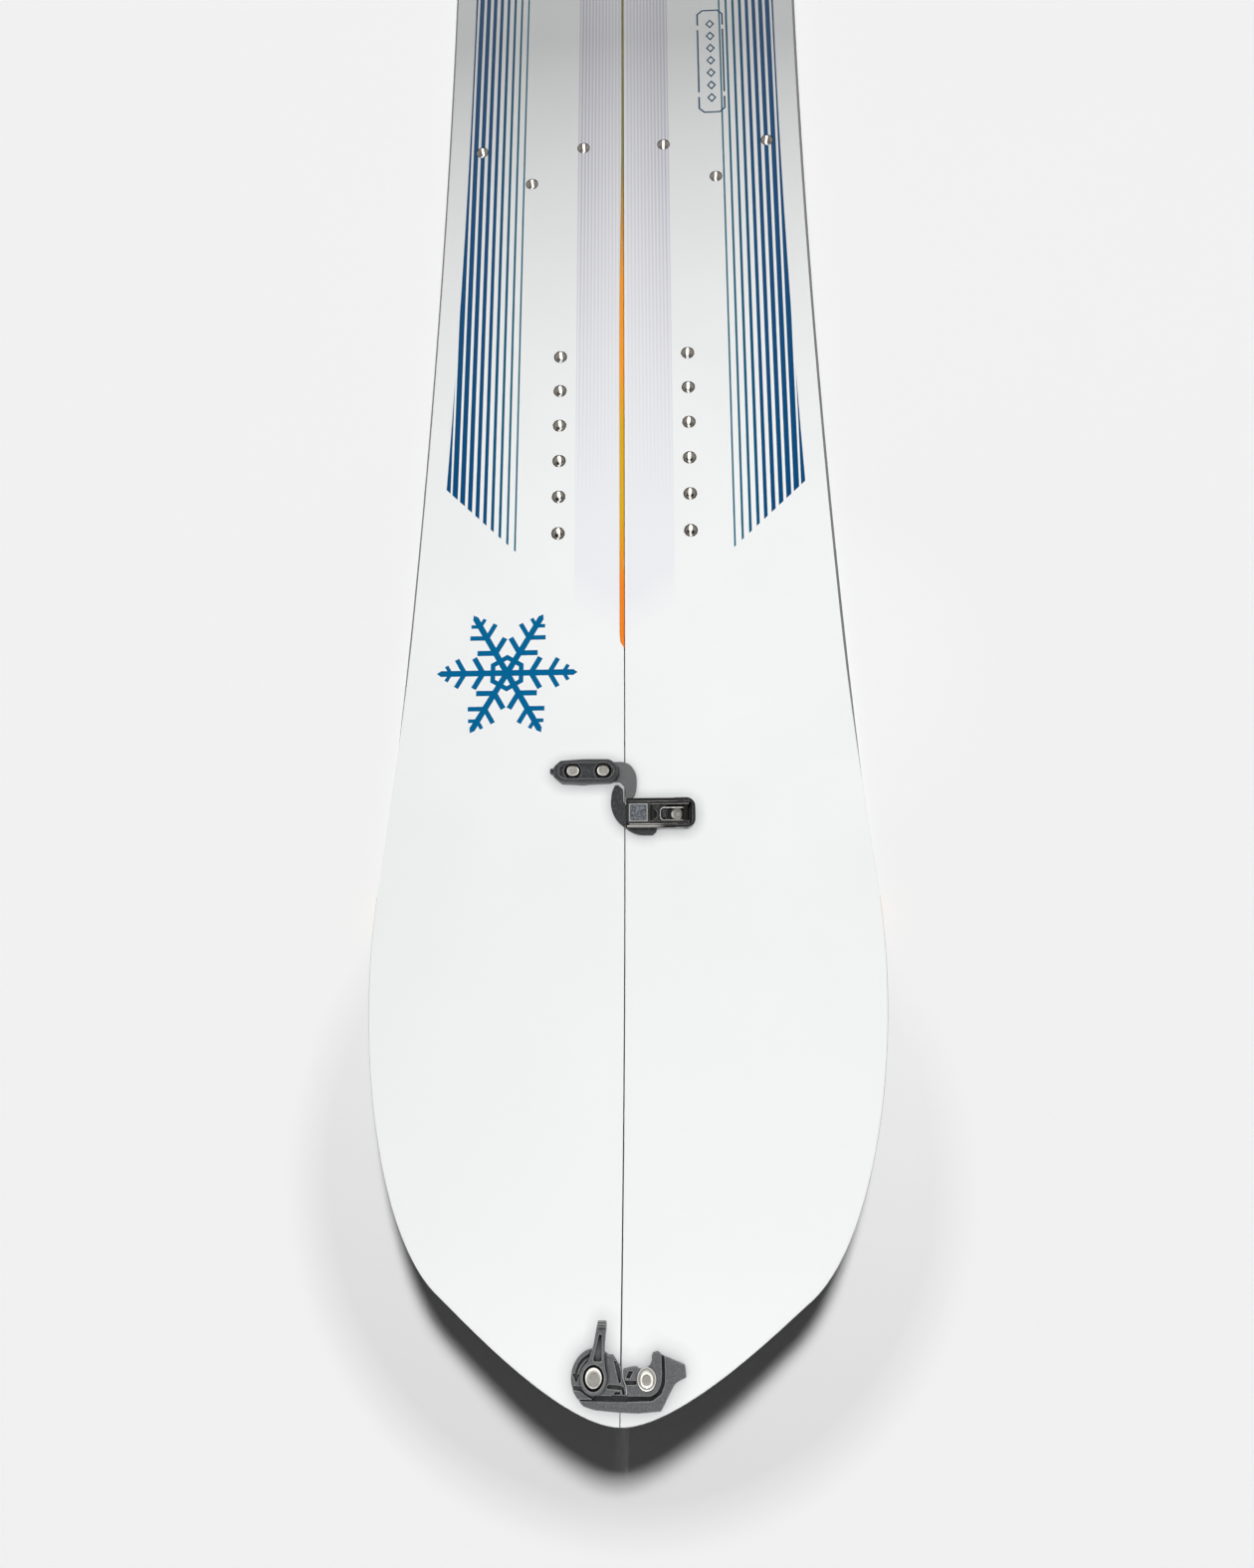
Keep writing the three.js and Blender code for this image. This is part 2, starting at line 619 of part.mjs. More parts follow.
// A bent wire: a bar behind the draw hook's lug and two legs whose ends turn out into the lever.
function latchBail() {
  const { x: pivotX, z: pivotZ } = LATCH_PIVOT;
  const z = pivotZ - BAIL.drop;
  const left = pivotX - BAIL.reach;
  const [legLow, legHigh] = [-20.2, -12.5];
  const path = new THREE.CurvePath();
  const points = [
    [pivotX, -22.8], [pivotX, legLow], [left, legLow], [left, legHigh], [pivotX, legHigh], [pivotX, -9.9],
  ].map(([x, y]) => new THREE.Vector3(x, y, z));
  for (let index = 1; index < points.length; index += 1) {
    path.add(new THREE.LineCurve3(points[index - 1], points[index]));
  }
  const pieces = path.curves.map((line) => {
    const length = line.getLength();
    const overrun = BAIL.wire * 0.9;
    const wire = new THREE.CylinderGeometry(BAIL.wire, BAIL.wire, length + 2 * overrun, 8);
    const along = line.v2.clone().sub(line.v1).normalize();
    wire.applyQuaternion(new THREE.Quaternion().setFromUnitVectors(new THREE.Vector3(0, 1, 0), along));
    const middle = line.v1.clone().add(line.v2).multiplyScalar(0.5);
    return solid(wire.translate(middle.x, middle.y, middle.z));
  });
  return union(pieces);
}

function buildCentreClip(name, station) {
  const clip = new THREE.Group();
  clip.position.set(0, yOf(station), topHeight(station));
  board.add(clip);
  const sunk = { head: 2.4, radius: 4.1, shank: 2.6, tip: -4.4 };
  const flat = { head: 1.6, radius: 4.1, shank: 2.6, tip: -4.4 };
  addPiece(clip, `${name}_hook_block`, hookBlock(), 'housing');
  addPiece(clip, `${name}_hook_plate`, hookPlate(), 'hookPlate');
  HOOK_SCREWS.forEach((x, index) => {
    const label = `${name}_hook_screw_${index + 1}`;
    addPiece(clip, label, screw(x, HOOK_SCREW_LINE, { seat: 4.6, ...sunk }), 'screw');
  });
  addPiece(clip, `${name}_latch_base`, latchBase(), 'housing');
  addPiece(clip, `${name}_latch_pin`, latchPin(), 'screw');
  const innerSeat = { seat: DRAW_HOOK.bodyTop + 0.3, ...flat };
  const outerSeat = { seat: LATCH_FLOOR_TOP + 0.3, ...flat };
  addPiece(clip, `${name}_latch_screw_1`, screw(LATCH_SCREWS[0], LATCH_MIDLINE, innerSeat), 'screw');
  addPiece(clip, `${name}_latch_screw_2`, screw(LATCH_SCREWS[1], LATCH_MIDLINE, outerSeat), 'screw');
  addPiece(clip, `${name}_draw_hook`, drawHook(), 'housing');
  addPiece(clip, `${name}_latch_lever`, latchLever(), 'lever');
  addPiece(clip, `${name}_latch_bail`, latchBail(), 'screw');
}

// ---- tip clip ------------------------------------------------------------------------------

// The plate under the lever: a disc round its screw and a tongue that reaches past the seam.
function leverPlate() {
  const disc = extrude(discShape(10.4), TIP_LIFT, TIP_PLATE_TOP, 10);
  const tongue = polygon([
    [-12, 7.5], [-3.4, 7.5], [0.6, 3.4], [0.9, -0.4], [2.4, -3.4], [2.8, -7.6], [-13, -7.6], [-19, -4.2],
  ]);
  const body = disc.add(extrude(tongue, TIP_LIFT, TIP_PLATE_TOP));
  const barRoom = block(-40, 20, -14, -4.2, -2, TIP_BAR_LOW + 0.35);
  const below = block(-40, 20, -14, -7.7, -2, 10);
  return cut(body, [barRoom, below, post(-TIP_SCREW_X, 0, -2, 12, INSERT_BORE, 10)]);
}

function discShape(radius) {
  return new THREE.Shape().absarc(-TIP_SCREW_X, 0, radius, 0, 2 * Math.PI);
}

// The plate on the other ski: a wing, a post round its screw and a bar that crosses the seam.
function barPlate() {
  const shape = new THREE.Shape();
  shape.moveTo(1.2, 3.2);
  shape.lineTo(1.5, -0.4);
  shape.lineTo(3.0, -3.3);
  shape.lineTo(3.4, -7.6);
  shape.lineTo(3.4, -8.2);
  shape.lineTo(-17.6, -8.2);
  shape.quadraticCurveTo(-13, -11.4, -8, -11.8);
  shape.quadraticCurveTo(6, -12.6, 18.4, -11.2);
  shape.lineTo(22.5, -5);
  shape.quadraticCurveTo(24.4, -1.6, 30.0, 0.8);
  shape.lineTo(29.5, 5.2);
  shape.lineTo(18.9, 8.4);
  shape.lineTo(15.4, 9.6);
  shape.quadraticCurveTo(13.4, 8.6, 14.2, 4.8);
  shape.lineTo(7.8, 3.2);
  const body = extrude(shape, TIP_LIFT, TIP_PLATE_TOP, 4);
  const tail = polygon([[4, -11.9], [4, -6.4], [-16.4, -4.8], [-20.4, -4.8], [-20.5, -6.6], [-15, -11.2]]);
  const bar = extrude(tail, TIP_LIFT, TIP_BAR_LOW);
  const groove = polygon([[3.3, -8], [15, -7.4], [19.6, -4], [19.6, 10], [17.8, 10], [17.8, -3.4], [14.4, -5.8], [3.3, -6.4]]);
  const slots = [extrude(groove, 2.4, 12), post(TIP_SCREW_X, 0, -2, 12, INSERT_BORE, 10)];
  return cut(body.add(bar), slots);
}

// A cam lever: a ring that turns round the screw head, a tapered arm and a finger tab.
function tipLever() {
  const ring = extrude(discShape(6.1), TIP_LEVER.bottom, TIP_LEVER.top, 8);
  const arm = polygon([[-16.6, 2], [-13.0, 8], [-10.6, 21], [-6.6, 21], [-6.9, 8], [-6.4, 1]]);
  const tab = polygon([[-10.8, 18.2], [-10.6, 21], [-6.6, 21], [-6.6, 18.2]]);
  const parts = [
    ring,
    extrude(arm, TIP_LEVER.bottom, TIP_LEVER.top),
    extrude(tab, TIP_LEVER.bottom, TIP_LEVER.tabTop),
  ];
  return union(parts).subtract(post(-TIP_SCREW_X, 0, 0, 12, 4.75, 12));
}

function buildTipClip(name, { seat, turned }) {
  board.add(seat);
  const button = { seat: 4.8, head: 2.2, radius: 4.2, shank: 2.4, tip: -3.4 };
  addPiece(turned, `${name}_lever_plate`, leverPlate(), 'housing');
  addPiece(turned, `${name}_lever_screw`, screw(-TIP_SCREW_X, 0, button), 'screw');
  addPiece(turned, `${name}_lever`, tipLever(), 'housing');
  addPiece(turned, `${name}_bar_plate`, barPlate(), 'housing');
  addPiece(turned, `${name}_bar_screw`, screw(TIP_SCREW_X, 0, button), 'screw');
}

// ---- assembly ------------------------------------------------------------------------------

buildSki(-1, 'left');
buildSki(1, 'right');
buildCentreClip('front', CLIP_STATION);
buildCentreClip('rear', REAR_CLIP_STATION);
buildTipClip('nose', noseSeat);
buildTipClip('tail', tailSeat);

export default board;
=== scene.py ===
# The looks of the splitboard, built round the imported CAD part.
# Shapes are worked out in millimetres and turned to metres as each piece is finished.
# +X is the right-hand ski, +Y points to the tail, +Z is up. A "station" is measured from the nose tip.

import json
import math

import bmesh
import bpy
from mathutils import Matrix, Vector


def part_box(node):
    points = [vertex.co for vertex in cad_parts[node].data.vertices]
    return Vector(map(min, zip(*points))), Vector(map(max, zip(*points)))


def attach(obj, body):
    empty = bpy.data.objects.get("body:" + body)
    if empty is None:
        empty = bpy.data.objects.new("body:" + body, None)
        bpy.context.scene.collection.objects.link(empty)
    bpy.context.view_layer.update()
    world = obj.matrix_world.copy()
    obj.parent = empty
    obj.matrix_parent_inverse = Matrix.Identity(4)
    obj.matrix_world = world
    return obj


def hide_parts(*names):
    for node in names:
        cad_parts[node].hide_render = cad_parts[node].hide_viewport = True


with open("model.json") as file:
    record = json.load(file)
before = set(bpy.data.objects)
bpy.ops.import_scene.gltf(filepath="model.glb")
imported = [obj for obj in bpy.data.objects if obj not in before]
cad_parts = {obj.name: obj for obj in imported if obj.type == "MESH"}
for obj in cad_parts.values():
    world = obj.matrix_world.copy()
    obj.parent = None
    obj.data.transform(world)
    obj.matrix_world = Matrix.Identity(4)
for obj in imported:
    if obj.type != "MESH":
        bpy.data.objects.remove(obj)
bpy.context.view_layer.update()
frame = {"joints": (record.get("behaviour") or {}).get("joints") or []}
MM = 0.001

# ---- driving dimensions, as the CAD part has them ----

LENGTH = 1590.0
NOSE_RISE = 62.0
TAIL_RISE = 42.0
CAMBER = 5.0
FRONT_CONTACT = 300.0
REAR_CONTACT = 1340.0
CONTACT_HALF_LENGTH = 10.0
ROCKER_POWER = 2.2

WAIST_HALF_WIDTH = 126.3
WAIST_STATION = 830.0
SIDECUT_RADIUS = 8500.0
SIDECUT_START = 240.0
SIDECUT_END = 1400.0

TIP_THICKNESS = 5.6
MID_THICKNESS = 8.6
BASE_THICKNESS = 1.3
SHEET_THICKNESS = 0.8
GLUE_GAP = 0.05
SEAM_HALF_GAP = 0.2

EDGE_WIDTH = 2.2
EDGE_SPAN = (225.0, 1405.0)
SIDEWALL_WIDTH = 8.0
SIDEWALL_SPAN = (236.0, 1395.0)
INNER_SIDEWALL_WIDTH = 6.0
INNER_SIDEWALL_SPAN = (389.0, 1310.0)

INSERT_RADIUS = 4.0
INSERT_PITCH = 25.4
TOURING_LINES = (28.2, 100.5)  # distances of the touring inserts from the seam
TOURING_STATION = 730.5  # of the triangle's point, which faces the nose
TOURING_DEPTH = 28.5
HEEL_LINE = 64.4
HEEL_STATION = 997.5
ROW_LINE = 42.4
HEEL_LINES = (HEEL_LINE - INSERT_PITCH / 2, HEEL_LINE + INSERT_PITCH / 2)
INSERT_LINES = (ROW_LINE, *TOURING_LINES, sum(TOURING_LINES) / 2, *HEEL_LINES)
FIT_GAP = 0.4
TIP_SCREW_X = 12.0
SCREW_HOLE = 3.0  # radius of every hole that a clip's screw passes

CLIP_STATIONS = {"front": 300.0, "rear": 1335.0}
HOOK_SCREWS = (-30.7, -12.5)
HOOK_SCREW_LINE = 9.9
LATCH_SCREWS = (12.5, 31.4)
LATCH_MIDLINE = -16.35
PIVOT = (36.0, 7.6)  # x and height of the lever's pin
BAIL_DROP = 3.3


# ---- shape of the board ----

def smooth_step(start, end, value):
    t = min(1.0, max(0.0, (value - start) / (end - start)))
    return t * t * (3 - 2 * t)


def y_of(station):
    return station - LENGTH / 2


def sidecut_half_width(station):
    return WAIST_HALF_WIDTH + (station - WAIST_STATION) ** 2 / (2 * SIDECUT_RADIUS)


def sidecut_slope(station):
    return (station - WAIST_STATION) / SIDECUT_RADIUS


def base_height(station):
    nose_start = FRONT_CONTACT - CONTACT_HALF_LENGTH
    tail_start = REAR_CONTACT + CONTACT_HALF_LENGTH
    if station < nose_start:
        return NOSE_RISE * ((nose_start - station) / nose_start) ** ROCKER_POWER
    if station > tail_start:
        return TAIL_RISE * ((station - tail_start) / (LENGTH - tail_start)) ** ROCKER_POWER
    middle = (FRONT_CONTACT + REAR_CONTACT) / 2
    half = (REAR_CONTACT - FRONT_CONTACT) / 2 - CONTACT_HALF_LENGTH
    u = min(1.0, abs(station - middle) / half)
    return CAMBER * (1 - u * u) ** 2


def thickness(station):
    u = 2 * station / LENGTH - 1
    return TIP_THICKNESS + (MID_THICKNESS - TIP_THICKNESS) * (1 - u ** 4)


def top_height(station):
    return base_height(station) + thickness(station)


def bezier(a, b, c, d, steps):
    """Points after a, up to and with d."""
    a, b, c, d = Vector(a), Vector(b), Vector(c), Vector(d)
    points = []
    for step in range(1, steps + 1):
        t = step / steps
        points.append((1 - t) ** 3 * a + 3 * (1 - t) ** 2 * t * b + 3 * (1 - t) * t * t * c + t ** 3 * d)
    return points


def half_outline(extra_stations):
    """Half width against station, from the nose tip to the tail tip, with a point at each extra station."""
    start_width = sidecut_half_width(SIDECUT_START)
    end_width = sidecut_half_width(SIDECUT_END)
    nose_handle = 92.0
    tail_handle = 88.0
    nose_flank = (90.0, 43.3)
    nose = bezier((0, 0), (28.6, 0), (78.1, 35.7), nose_flank, 44)
    shoulder_end = (start_width - nose_handle * sidecut_slope(SIDECUT_START), SIDECUT_START - nose_handle)
    shoulder = bezier(nose_flank, (124.8, 65.6), shoulder_end, (start_width, SIDECUT_START), 44)
    sidecut_steps = 190
    length = SIDECUT_END - SIDECUT_START
    sidecut = [SIDECUT_START + length * step / sidecut_steps for step in range(1, sidecut_steps)]
    sidecut = [Vector((sidecut_half_width(s), s)) for s in sidecut]
    tail_start = (end_width + tail_handle * sidecut_slope(SIDECUT_END), SIDECUT_END + tail_handle)
    end = Vector((end_width, SIDECUT_END))
    tail = [end] + bezier(end, tail_start, (104, LENGTH), (0, LENGTH), 70)
    points = [Vector((0, 0))] + nose + shoulder + sidecut + tail
    for station in extra_stations:
        after = next(i for i, p in enumerate(points) if p.y >= station)
        a, b = points[after - 1], points[after]
        if b.y - station > 0.01 and station - a.y > 0.01:
            points.insert(after, a.lerp(b, (station - a.y) / (b.y - a.y)))
    return points


STEP_LENGTH = 0.1  # an inset that changes at a station does so within twice this length
STEPS = [s + d for span in (EDGE_SPAN, SIDEWALL_SPAN, INNER_SIDEWALL_SPAN) for s in span for d in
         (-STEP_LENGTH, STEP_LENGTH)]
OUTLINE = half_outline(sorted(STEPS))


def outline_normals(points):
    normals = []
    for i, _ in enumerate(points):
        before, after = points[max(0, i - 1)], points[min(len(points) - 1, i + 1)]
        along = (after - before).normalized()
        normals.append(Vector((along.y, -along.x)))
    normals[0] = Vector((0, -1))
    normals[-1] = Vector((0, 1))
    return normals


NORMALS = outline_normals(OUTLINE)
RIM_DEPTH = 9.0  # how far in from the outline a section may bend


def within(span, station):
    return span[0] < station < span[1]


def board_point(side, x, station, level):
    """level is (share of the thickness, millimetres more) above the base."""
    share, more = level
    height = base_height(station) + share * thickness(station) + more
    return Vector((side * x, y_of(station), height))


def up(height):
    return (0.0, height)


def down(depth):
    return (1.0, -depth)


def ski_band(side, span, section):
    """A closed body along the whole ski. section(side, station) gives its loop: ("rim", inset, level) is
    measured in from the outline and ("seam", x, level) out from the seam."""
    loops = []
    for point, normal in zip(OUTLINE, NORMALS):
        if not span[0] <= point.y <= span[1]:
            continue
        inner = point - normal * RIM_DEPTH
        inner_x = max(SEAM_HALF_GAP, inner.x)
        if inner.x < SEAM_HALF_GAP and 0 < point.x < RIM_DEPTH and abs(normal.y) < 0.5:
            continue
        loop = []
        for kind, distance, level in section(side, point.y):
            if kind == "rim":
                place = point - normal * distance
                loop.append(board_point(side, max(SEAM_HALF_GAP, place.x), place.y, level))
            else:
                loop.append(board_point(side, min(distance, inner_x), inner.y, level))
        loops.append(loop)
    return skin(loops)


# ---- mesh tools ----

def object_of(bm, merge_within=1e-4):
    """The finished mesh as an object of the scene."""
    if merge_within:
        bmesh.ops.remove_doubles(bm, verts=bm.verts, dist=merge_within)
        bmesh.ops.recalc_face_normals(bm, faces=bm.faces)
    mesh = bpy.data.meshes.new("mesh")
    bm.to_mesh(mesh)
    bm.free()
    return placed(mesh.name, mesh)


def placed(name, data):
    made = bpy.data.objects.new(name, data)
    bpy.context.scene.collection.objects.link(made)
    return made


def skin(loops):
    """A closed body through loops of equally many points, with a flat cap at each end."""
    bm = bmesh.new()
    rows = [[bm.verts.new(point) for point in loop] for loop in loops]
    count = len(rows[0])
    for row, following in zip(rows, rows[1:]):
        for i in range(count):
            j = (i + 1) % count
            bm.faces.new((row[i], row[j], following[j], following[i]))
    bm.faces.new(list(reversed(rows[0])))
    bm.faces.new(rows[-1])
    return object_of(bm)


def rounded(points, steps=6):
    """A closed outline whose corners (x, y, radius) are rounded."""
    outline = []
    for i, (x, y, radius) in enumerate(points):
        here = Vector((x, y))
        before = Vector(points[i - 1][:2]) - here
        after = Vector(points[(i + 1) % len(points)][:2]) - here
        half = before.angle(after) / 2
        if radius <= 0 or half > math.radians(88):
            outline.append(here)
            continue
        reach = min(radius / math.tan(half), 0.48 * before.length, 0.48 * after.length)
        radius = reach * math.tan(half)
        before.normalize()
        after.normalize()
        centre = here + (before + after).normalized() * radius / math.sin(half)
        first, last = here + before * reach - centre, here + after * reach - centre
        turn = first.angle_signed(last)
        for step in range(steps + 1):
            outline.append(centre + Matrix.Rotation(-turn * step / steps, 2) @ first)
    return outline


def circle(x, y, radius, sides=48):
    angles = [2 * math.pi * i / sides for i in range(sides)]
    return [Vector((x + radius * math.cos(a), y + radius * math.sin(a))) for a in angles]


def inset(outline, distance):
    """The outline moved inwards by distance; outwards where that is negative."""
    area = sum(a.x * b.y - b.x * a.y for a, b in zip(outline, outline[1:] + outline[:1]))
    sign = 1 if area > 0 else -1
    moved = []
    for i, here in enumerate(outline):
        a = (here - outline[i - 1]).normalized()
        b = (outline[(i + 1) % len(outline)] - here).normalized()
        normal = (Vector((-a.y, a.x)) + Vector((-b.y, b.x))).normalized() * sign
        stretch = max(0.35, normal.dot(Vector((-a.y, a.x))) * sign)
        moved.append(here + normal * distance / stretch)
    return close_tight_arcs(outline, moved)


def close_tight_arcs(outline, moved):
    """An arc tighter than its inset turns inside out, so its points are brought together in one."""
    count = len(outline)
    flipped = [(moved[i] - moved[i - 1]).dot(outline[i] - outline[i - 1]) < 0 for i in range(count)]
    if not any(flipped) or all(flipped):
        return moved
    start = flipped.index(False)
    runs = [[start]]
    for step in range(1, count):
        i = (start + step) % count
        if flipped[i]:
            runs[-1].append(i)
        else:
            runs.append([i])
    for run in runs:
        middle = sum((moved[i] for i in run), Vector((0, 0))) / len(run)
        for i in run:
            moved[i] = middle.copy()
    return moved


def slab(outline, layers):
    """An upright body whose plan is the outline, inset at each of the layers (height, inset)."""
    return skin([[Vector((p.x, p.y, z)) for p in inset(outline, d)] for z, d in layers])


def plate(points, layers, steps=6):
    return slab(rounded(points, steps), layers)


def oblong(x0, y0, x1, y1, *radii):
    """Corners of a rectangle, with one radius for all of them, one each or none."""
    radii = radii if len(radii) == 4 else (radii or (0,)) * 4
    return [(*corner, radius) for corner, radius in zip(((x0, y0), (x1, y0), (x1, y1), (x0, y1)), radii)]


def soft_top(bottom, top, radius, foot=0.2):
    """Layers for a body with a rounded top edge and a small chamfer round its foot."""
    layers = [(bottom, foot), (bottom + foot, 0)]
    for degrees in (0, 30, 60, 90):
        a = math.radians(degrees)
        layers.append((top - radius + radius * math.sin(a), radius - radius * math.cos(a)))
    return layers


def pocket(bottom, top, flare, floor_radius=0.3):
    """Layers for a cutter that leaves a rounded floor corner and a chamfered rim at the top."""
    floor = [(bottom, floor_radius), (bottom + floor_radius, 0)]
    return floor + [(top - flare, 0), (top, -flare), (top + 1, -flare)]


def lathe(x, y, profile, sides=48):
    """A turned body about an upright axis. The profile (radius, height) starts and ends on its flat caps."""
    return skin([[Vector((p.x, p.y, z)) for p in circle(x, y, r, sides)] for r, z in profile])


def drill(x, y, radius, bottom, top):
    """A cutter for a plain round hole."""
    return lathe(x, y, [(radius, bottom), (radius, top)])


def upright_side(body):
    """Turns a slab drawn in X and Z, so that its layers run along Y."""
    body.data.transform(Matrix.Rotation(math.pi / 2, 4, "X"))
    return body


def rod(points, radius, sides=16, end_chamfer=0.0):
    """A round bar along a flat path at one height, or straight along Y."""
    loops = []
    up_axis = Vector((0, 0, 1))
    for i, point in enumerate(points):
        along = (points[min(i + 1, len(points) - 1)] - points[max(i - 1, 0)]).normalized()
        across = along.cross(up_axis)
        ring = [math.cos(2 * math.pi * k / sides) * across + math.sin(2 * math.pi * k / sides) * up_axis
                for k in range(sides)]
        if end_chamfer and i in (0, len(points) - 1):
            shift = along * (end_chamfer if i == 0 else -end_chamfer)
            small = [point + r * (radius - end_chamfer) for r in ring]
            full = [point + shift + r * radius for r in ring]
            loops += [small, full] if i == 0 else [full, small]
        else:
            loops.append([point + r * radius for r in ring])
    return skin(loops)


def joined(bodies):
    """One mesh that holds several separate bodies."""
    bm = bmesh.new()
    for body in bodies:
        bm.from_mesh(body.data)
        bpy.data.objects.remove(body)
    return object_of(bm, 0)


def bake(body):
    """Applies the body's modifiers."""
    graph = bpy.context.evaluated_depsgraph_get()
    mesh = bpy.data.meshes.new_from_object(body.evaluated_get(graph))
    body.modifiers.clear()
    body.data = mesh
    return body


def carve(body, cutters=(), joins=()):
    """The body joined with some bodies, less others."""
    for operation, others in (("UNION", joins), ("DIFFERENCE", cutters)):
        for other in others:
            step = body.modifiers.new("cut", "BOOLEAN")
            step.operation = operation
            step.solver = "EXACT"
            step.object = other
            bake(body)
            bpy.data.objects.remove(other)
    return body


def finish(name, body, place, rides_on, material, sharp_degrees=35):
    """Sizes the piece to metres, puts it in place and has it stand for the CAD node of that name."""
    body.name = name + "_finished"
    body.data.name = body.name
    body.data.transform(Matrix.Scale(MM, 4) @ place)
    body.data.polygons.foreach_set("use_smooth", [True] * len(body.data.polygons))
    body.data.set_sharp_from_angle(angle=math.radians(sharp_degrees))
    weights = body.modifiers.new("normals", "WEIGHTED_NORMAL")
    weights.keep_sharp = True
    bake(body)
    body.data.materials.clear()
    body.data.materials.append(material)
    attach(body, rides_on)
    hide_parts(name)
    return body


# ---- material tools ----

def paint(red, green, blue):
    """A colour on the usual 0 to 255 scale, as the linear light that Blender mixes."""
    channels = []
    for value in (red, green, blue):
        c = value / 255
        channels.append(c / 12.92 if c <= 0.04045 else ((c + 0.055) / 1.055) ** 2.4)
    return (*channels, 1.0)


class Value:
    """A number made by the nodes of a material, with arithmetic."""

    def __init__(self, graph, socket):
        self.graph = graph
        self.socket = socket

    def size(self):
        return self.graph.math("ABSOLUTE", self)

    def above(self, limit, soft=0.12):
        """1 where this is over the limit and 0 under it, with a soft step between."""
        return self.graph.math("ADD", (self - limit) / soft, 0.5, clamp=True)

    def below(self, limit, soft=0.12):
        return 1 - self.above(limit, soft)

    def __rsub__(self, other):
        return self.graph.math("SUBTRACT", other, self)


ARITHMETIC = {
    "__add__": "ADD", "__radd__": "ADD", "__sub__": "SUBTRACT", "__mul__": "MULTIPLY",
    "__rmul__": "MULTIPLY", "__truediv__": "DIVIDE", "least": "MINIMUM", "most": "MAXIMUM",
}


def two_value_method(operation):
    def method(self, other):
        return self.graph.math(operation, self, other)
    return method


for method_name, math_operation in ARITHMETIC.items():
    setattr(Value, method_name, two_value_method(math_operation))


def faded(value):
    return value.most(0.0).least(1.0)


class Graph:
    """One procedural material. x, y and z are millimetres in the row frame at rest."""

    def __init__(self, name):
        self.material = bpy.data.materials.new(name)
        self.material.use_nodes = True
        self.tree = self.material.node_tree
        self.surface = self.tree.nodes["Principled BSDF"]
        scaled = self.node("ShaderNodeVectorMath", operation="SCALE")
        self.put(scaled.inputs[0], self.node("ShaderNodeTexCoord").outputs["Object"])
        self.put(scaled.inputs["Scale"], 1 / MM)
        self.position = scaled.outputs[0]
        parts = self.node("ShaderNodeSeparateXYZ")
        self.put(parts.inputs[0], self.position)
        self.x, self.y, self.z = (Value(self, axis) for axis in parts.outputs)

    def node(self, kind, **settings):
        made = self.tree.nodes.new(kind)
        for key, setting in settings.items():
            setattr(made, key, setting)
        return made

    def put(self, socket, value):
        """Feeds a socket with a Value, another node's output, a colour or a number."""
        if isinstance(value, Value):
            value = value.socket
        if isinstance(value, bpy.types.NodeSocket):
            self.tree.links.new(value, socket)
        elif isinstance(value, tuple) and len(value) == 3:
            socket.default_value = paint(*value)
        else:
            socket.default_value = value

    def math(self, operation, *values, clamp=False):
        made = self.node("ShaderNodeMath", operation=operation, use_clamp=clamp)
        for socket, value in zip(made.inputs, values):
            self.put(socket, value)
        return Value(self, made.outputs[0])

    def noise(self, size, detail=2.0, stretch=(1, 1, 1)):
        """Noise from 0 to 1 whose features are about size millimetres, drawn out by stretch."""
        scaled = self.node("ShaderNodeVectorMath", operation="MULTIPLY")
        self.put(scaled.inputs[0], self.position)
        self.put(scaled.inputs[1], [1 / (size * s) for s in stretch])
        made = self.node("ShaderNodeTexNoise")
        self.put(made.inputs["Scale"], 1.0)
        self.put(made.inputs["Detail"], detail)
        self.put(made.inputs["Vector"], scaled.outputs[0])
        return Value(self, made.outputs["Fac"])

    def mix(self, first, second, share):
        """One colour turning to another as share goes from 0 to 1."""
        made = self.node("ShaderNodeMix", data_type="RGBA")
        self.put(made.inputs["Factor"], share)
        self.put(made.inputs[6], first)
        self.put(made.inputs[7], second)
        return Value(self, made.outputs[2])

    def over(self, colour, share):
        """Paints a colour over the surface so far."""
        self.colour = self.mix(self.colour, colour, share)

    def edges(self, radius):
        """A mask for painted highlights: 1 on the edges of a piece, within about radius millimetres, and 0
        on its flats.
        """
        bevel = self.node("ShaderNodeBevel", samples=6)
        self.put(bevel.inputs["Radius"], radius * MM)
        dot = self.node("ShaderNodeVectorMath", operation="DOT_PRODUCT")
        self.put(dot.inputs[0], bevel.outputs[0])
        self.put(dot.inputs[1], self.node("ShaderNodeNewGeometry").outputs["Normal"])
        return (1 - Value(self, dot.outputs["Value"])).above(0.035, 0.05)

    def covered(self, reach):
        """The share of the sky that pieces within reach millimetres hide."""
        sky = self.node("ShaderNodeAmbientOcclusion", samples=6)
        self.put(sky.inputs["Distance"], reach * MM)
        return 1 - Value(self, sky.outputs["AO"])

    def hollows(self, reach):
        """A mask for painted shade: 1 deep in grooves and pockets and against neighbours, and 0 in the open.
        """
        return faded((self.covered(reach) - 0.18) / 0.3)

    def glow(self, strength):
        self.put(self.surface.inputs["Emission Color"], (255, 255, 255))
        self.put(self.surface.inputs["Emission Strength"], strength)

    def finish(self, roughness, metallic=0.0, relief=None, depth=0.0, coat=0.0, specular=0.5):
        """relief is a height from 0 to 1 and depth its size in millimetres."""
        inputs = self.surface.inputs
        settings = {
            "Base Color": self.colour, "Roughness": roughness, "Metallic": metallic,
            "Coat Weight": coat, "Coat Roughness": 0.12, "Specular IOR Level": specular,
        }
        for socket, value in settings.items():
            self.put(inputs[socket], value)
        if relief is not None:
            bump = self.node("ShaderNodeBump")
            self.put(bump.inputs["Distance"], depth * MM)
            self.put(bump.inputs["Height"], relief)
            self.put(inputs["Normal"], bump.outputs[0])
        return self.material


# ---- topsheet graphics ----

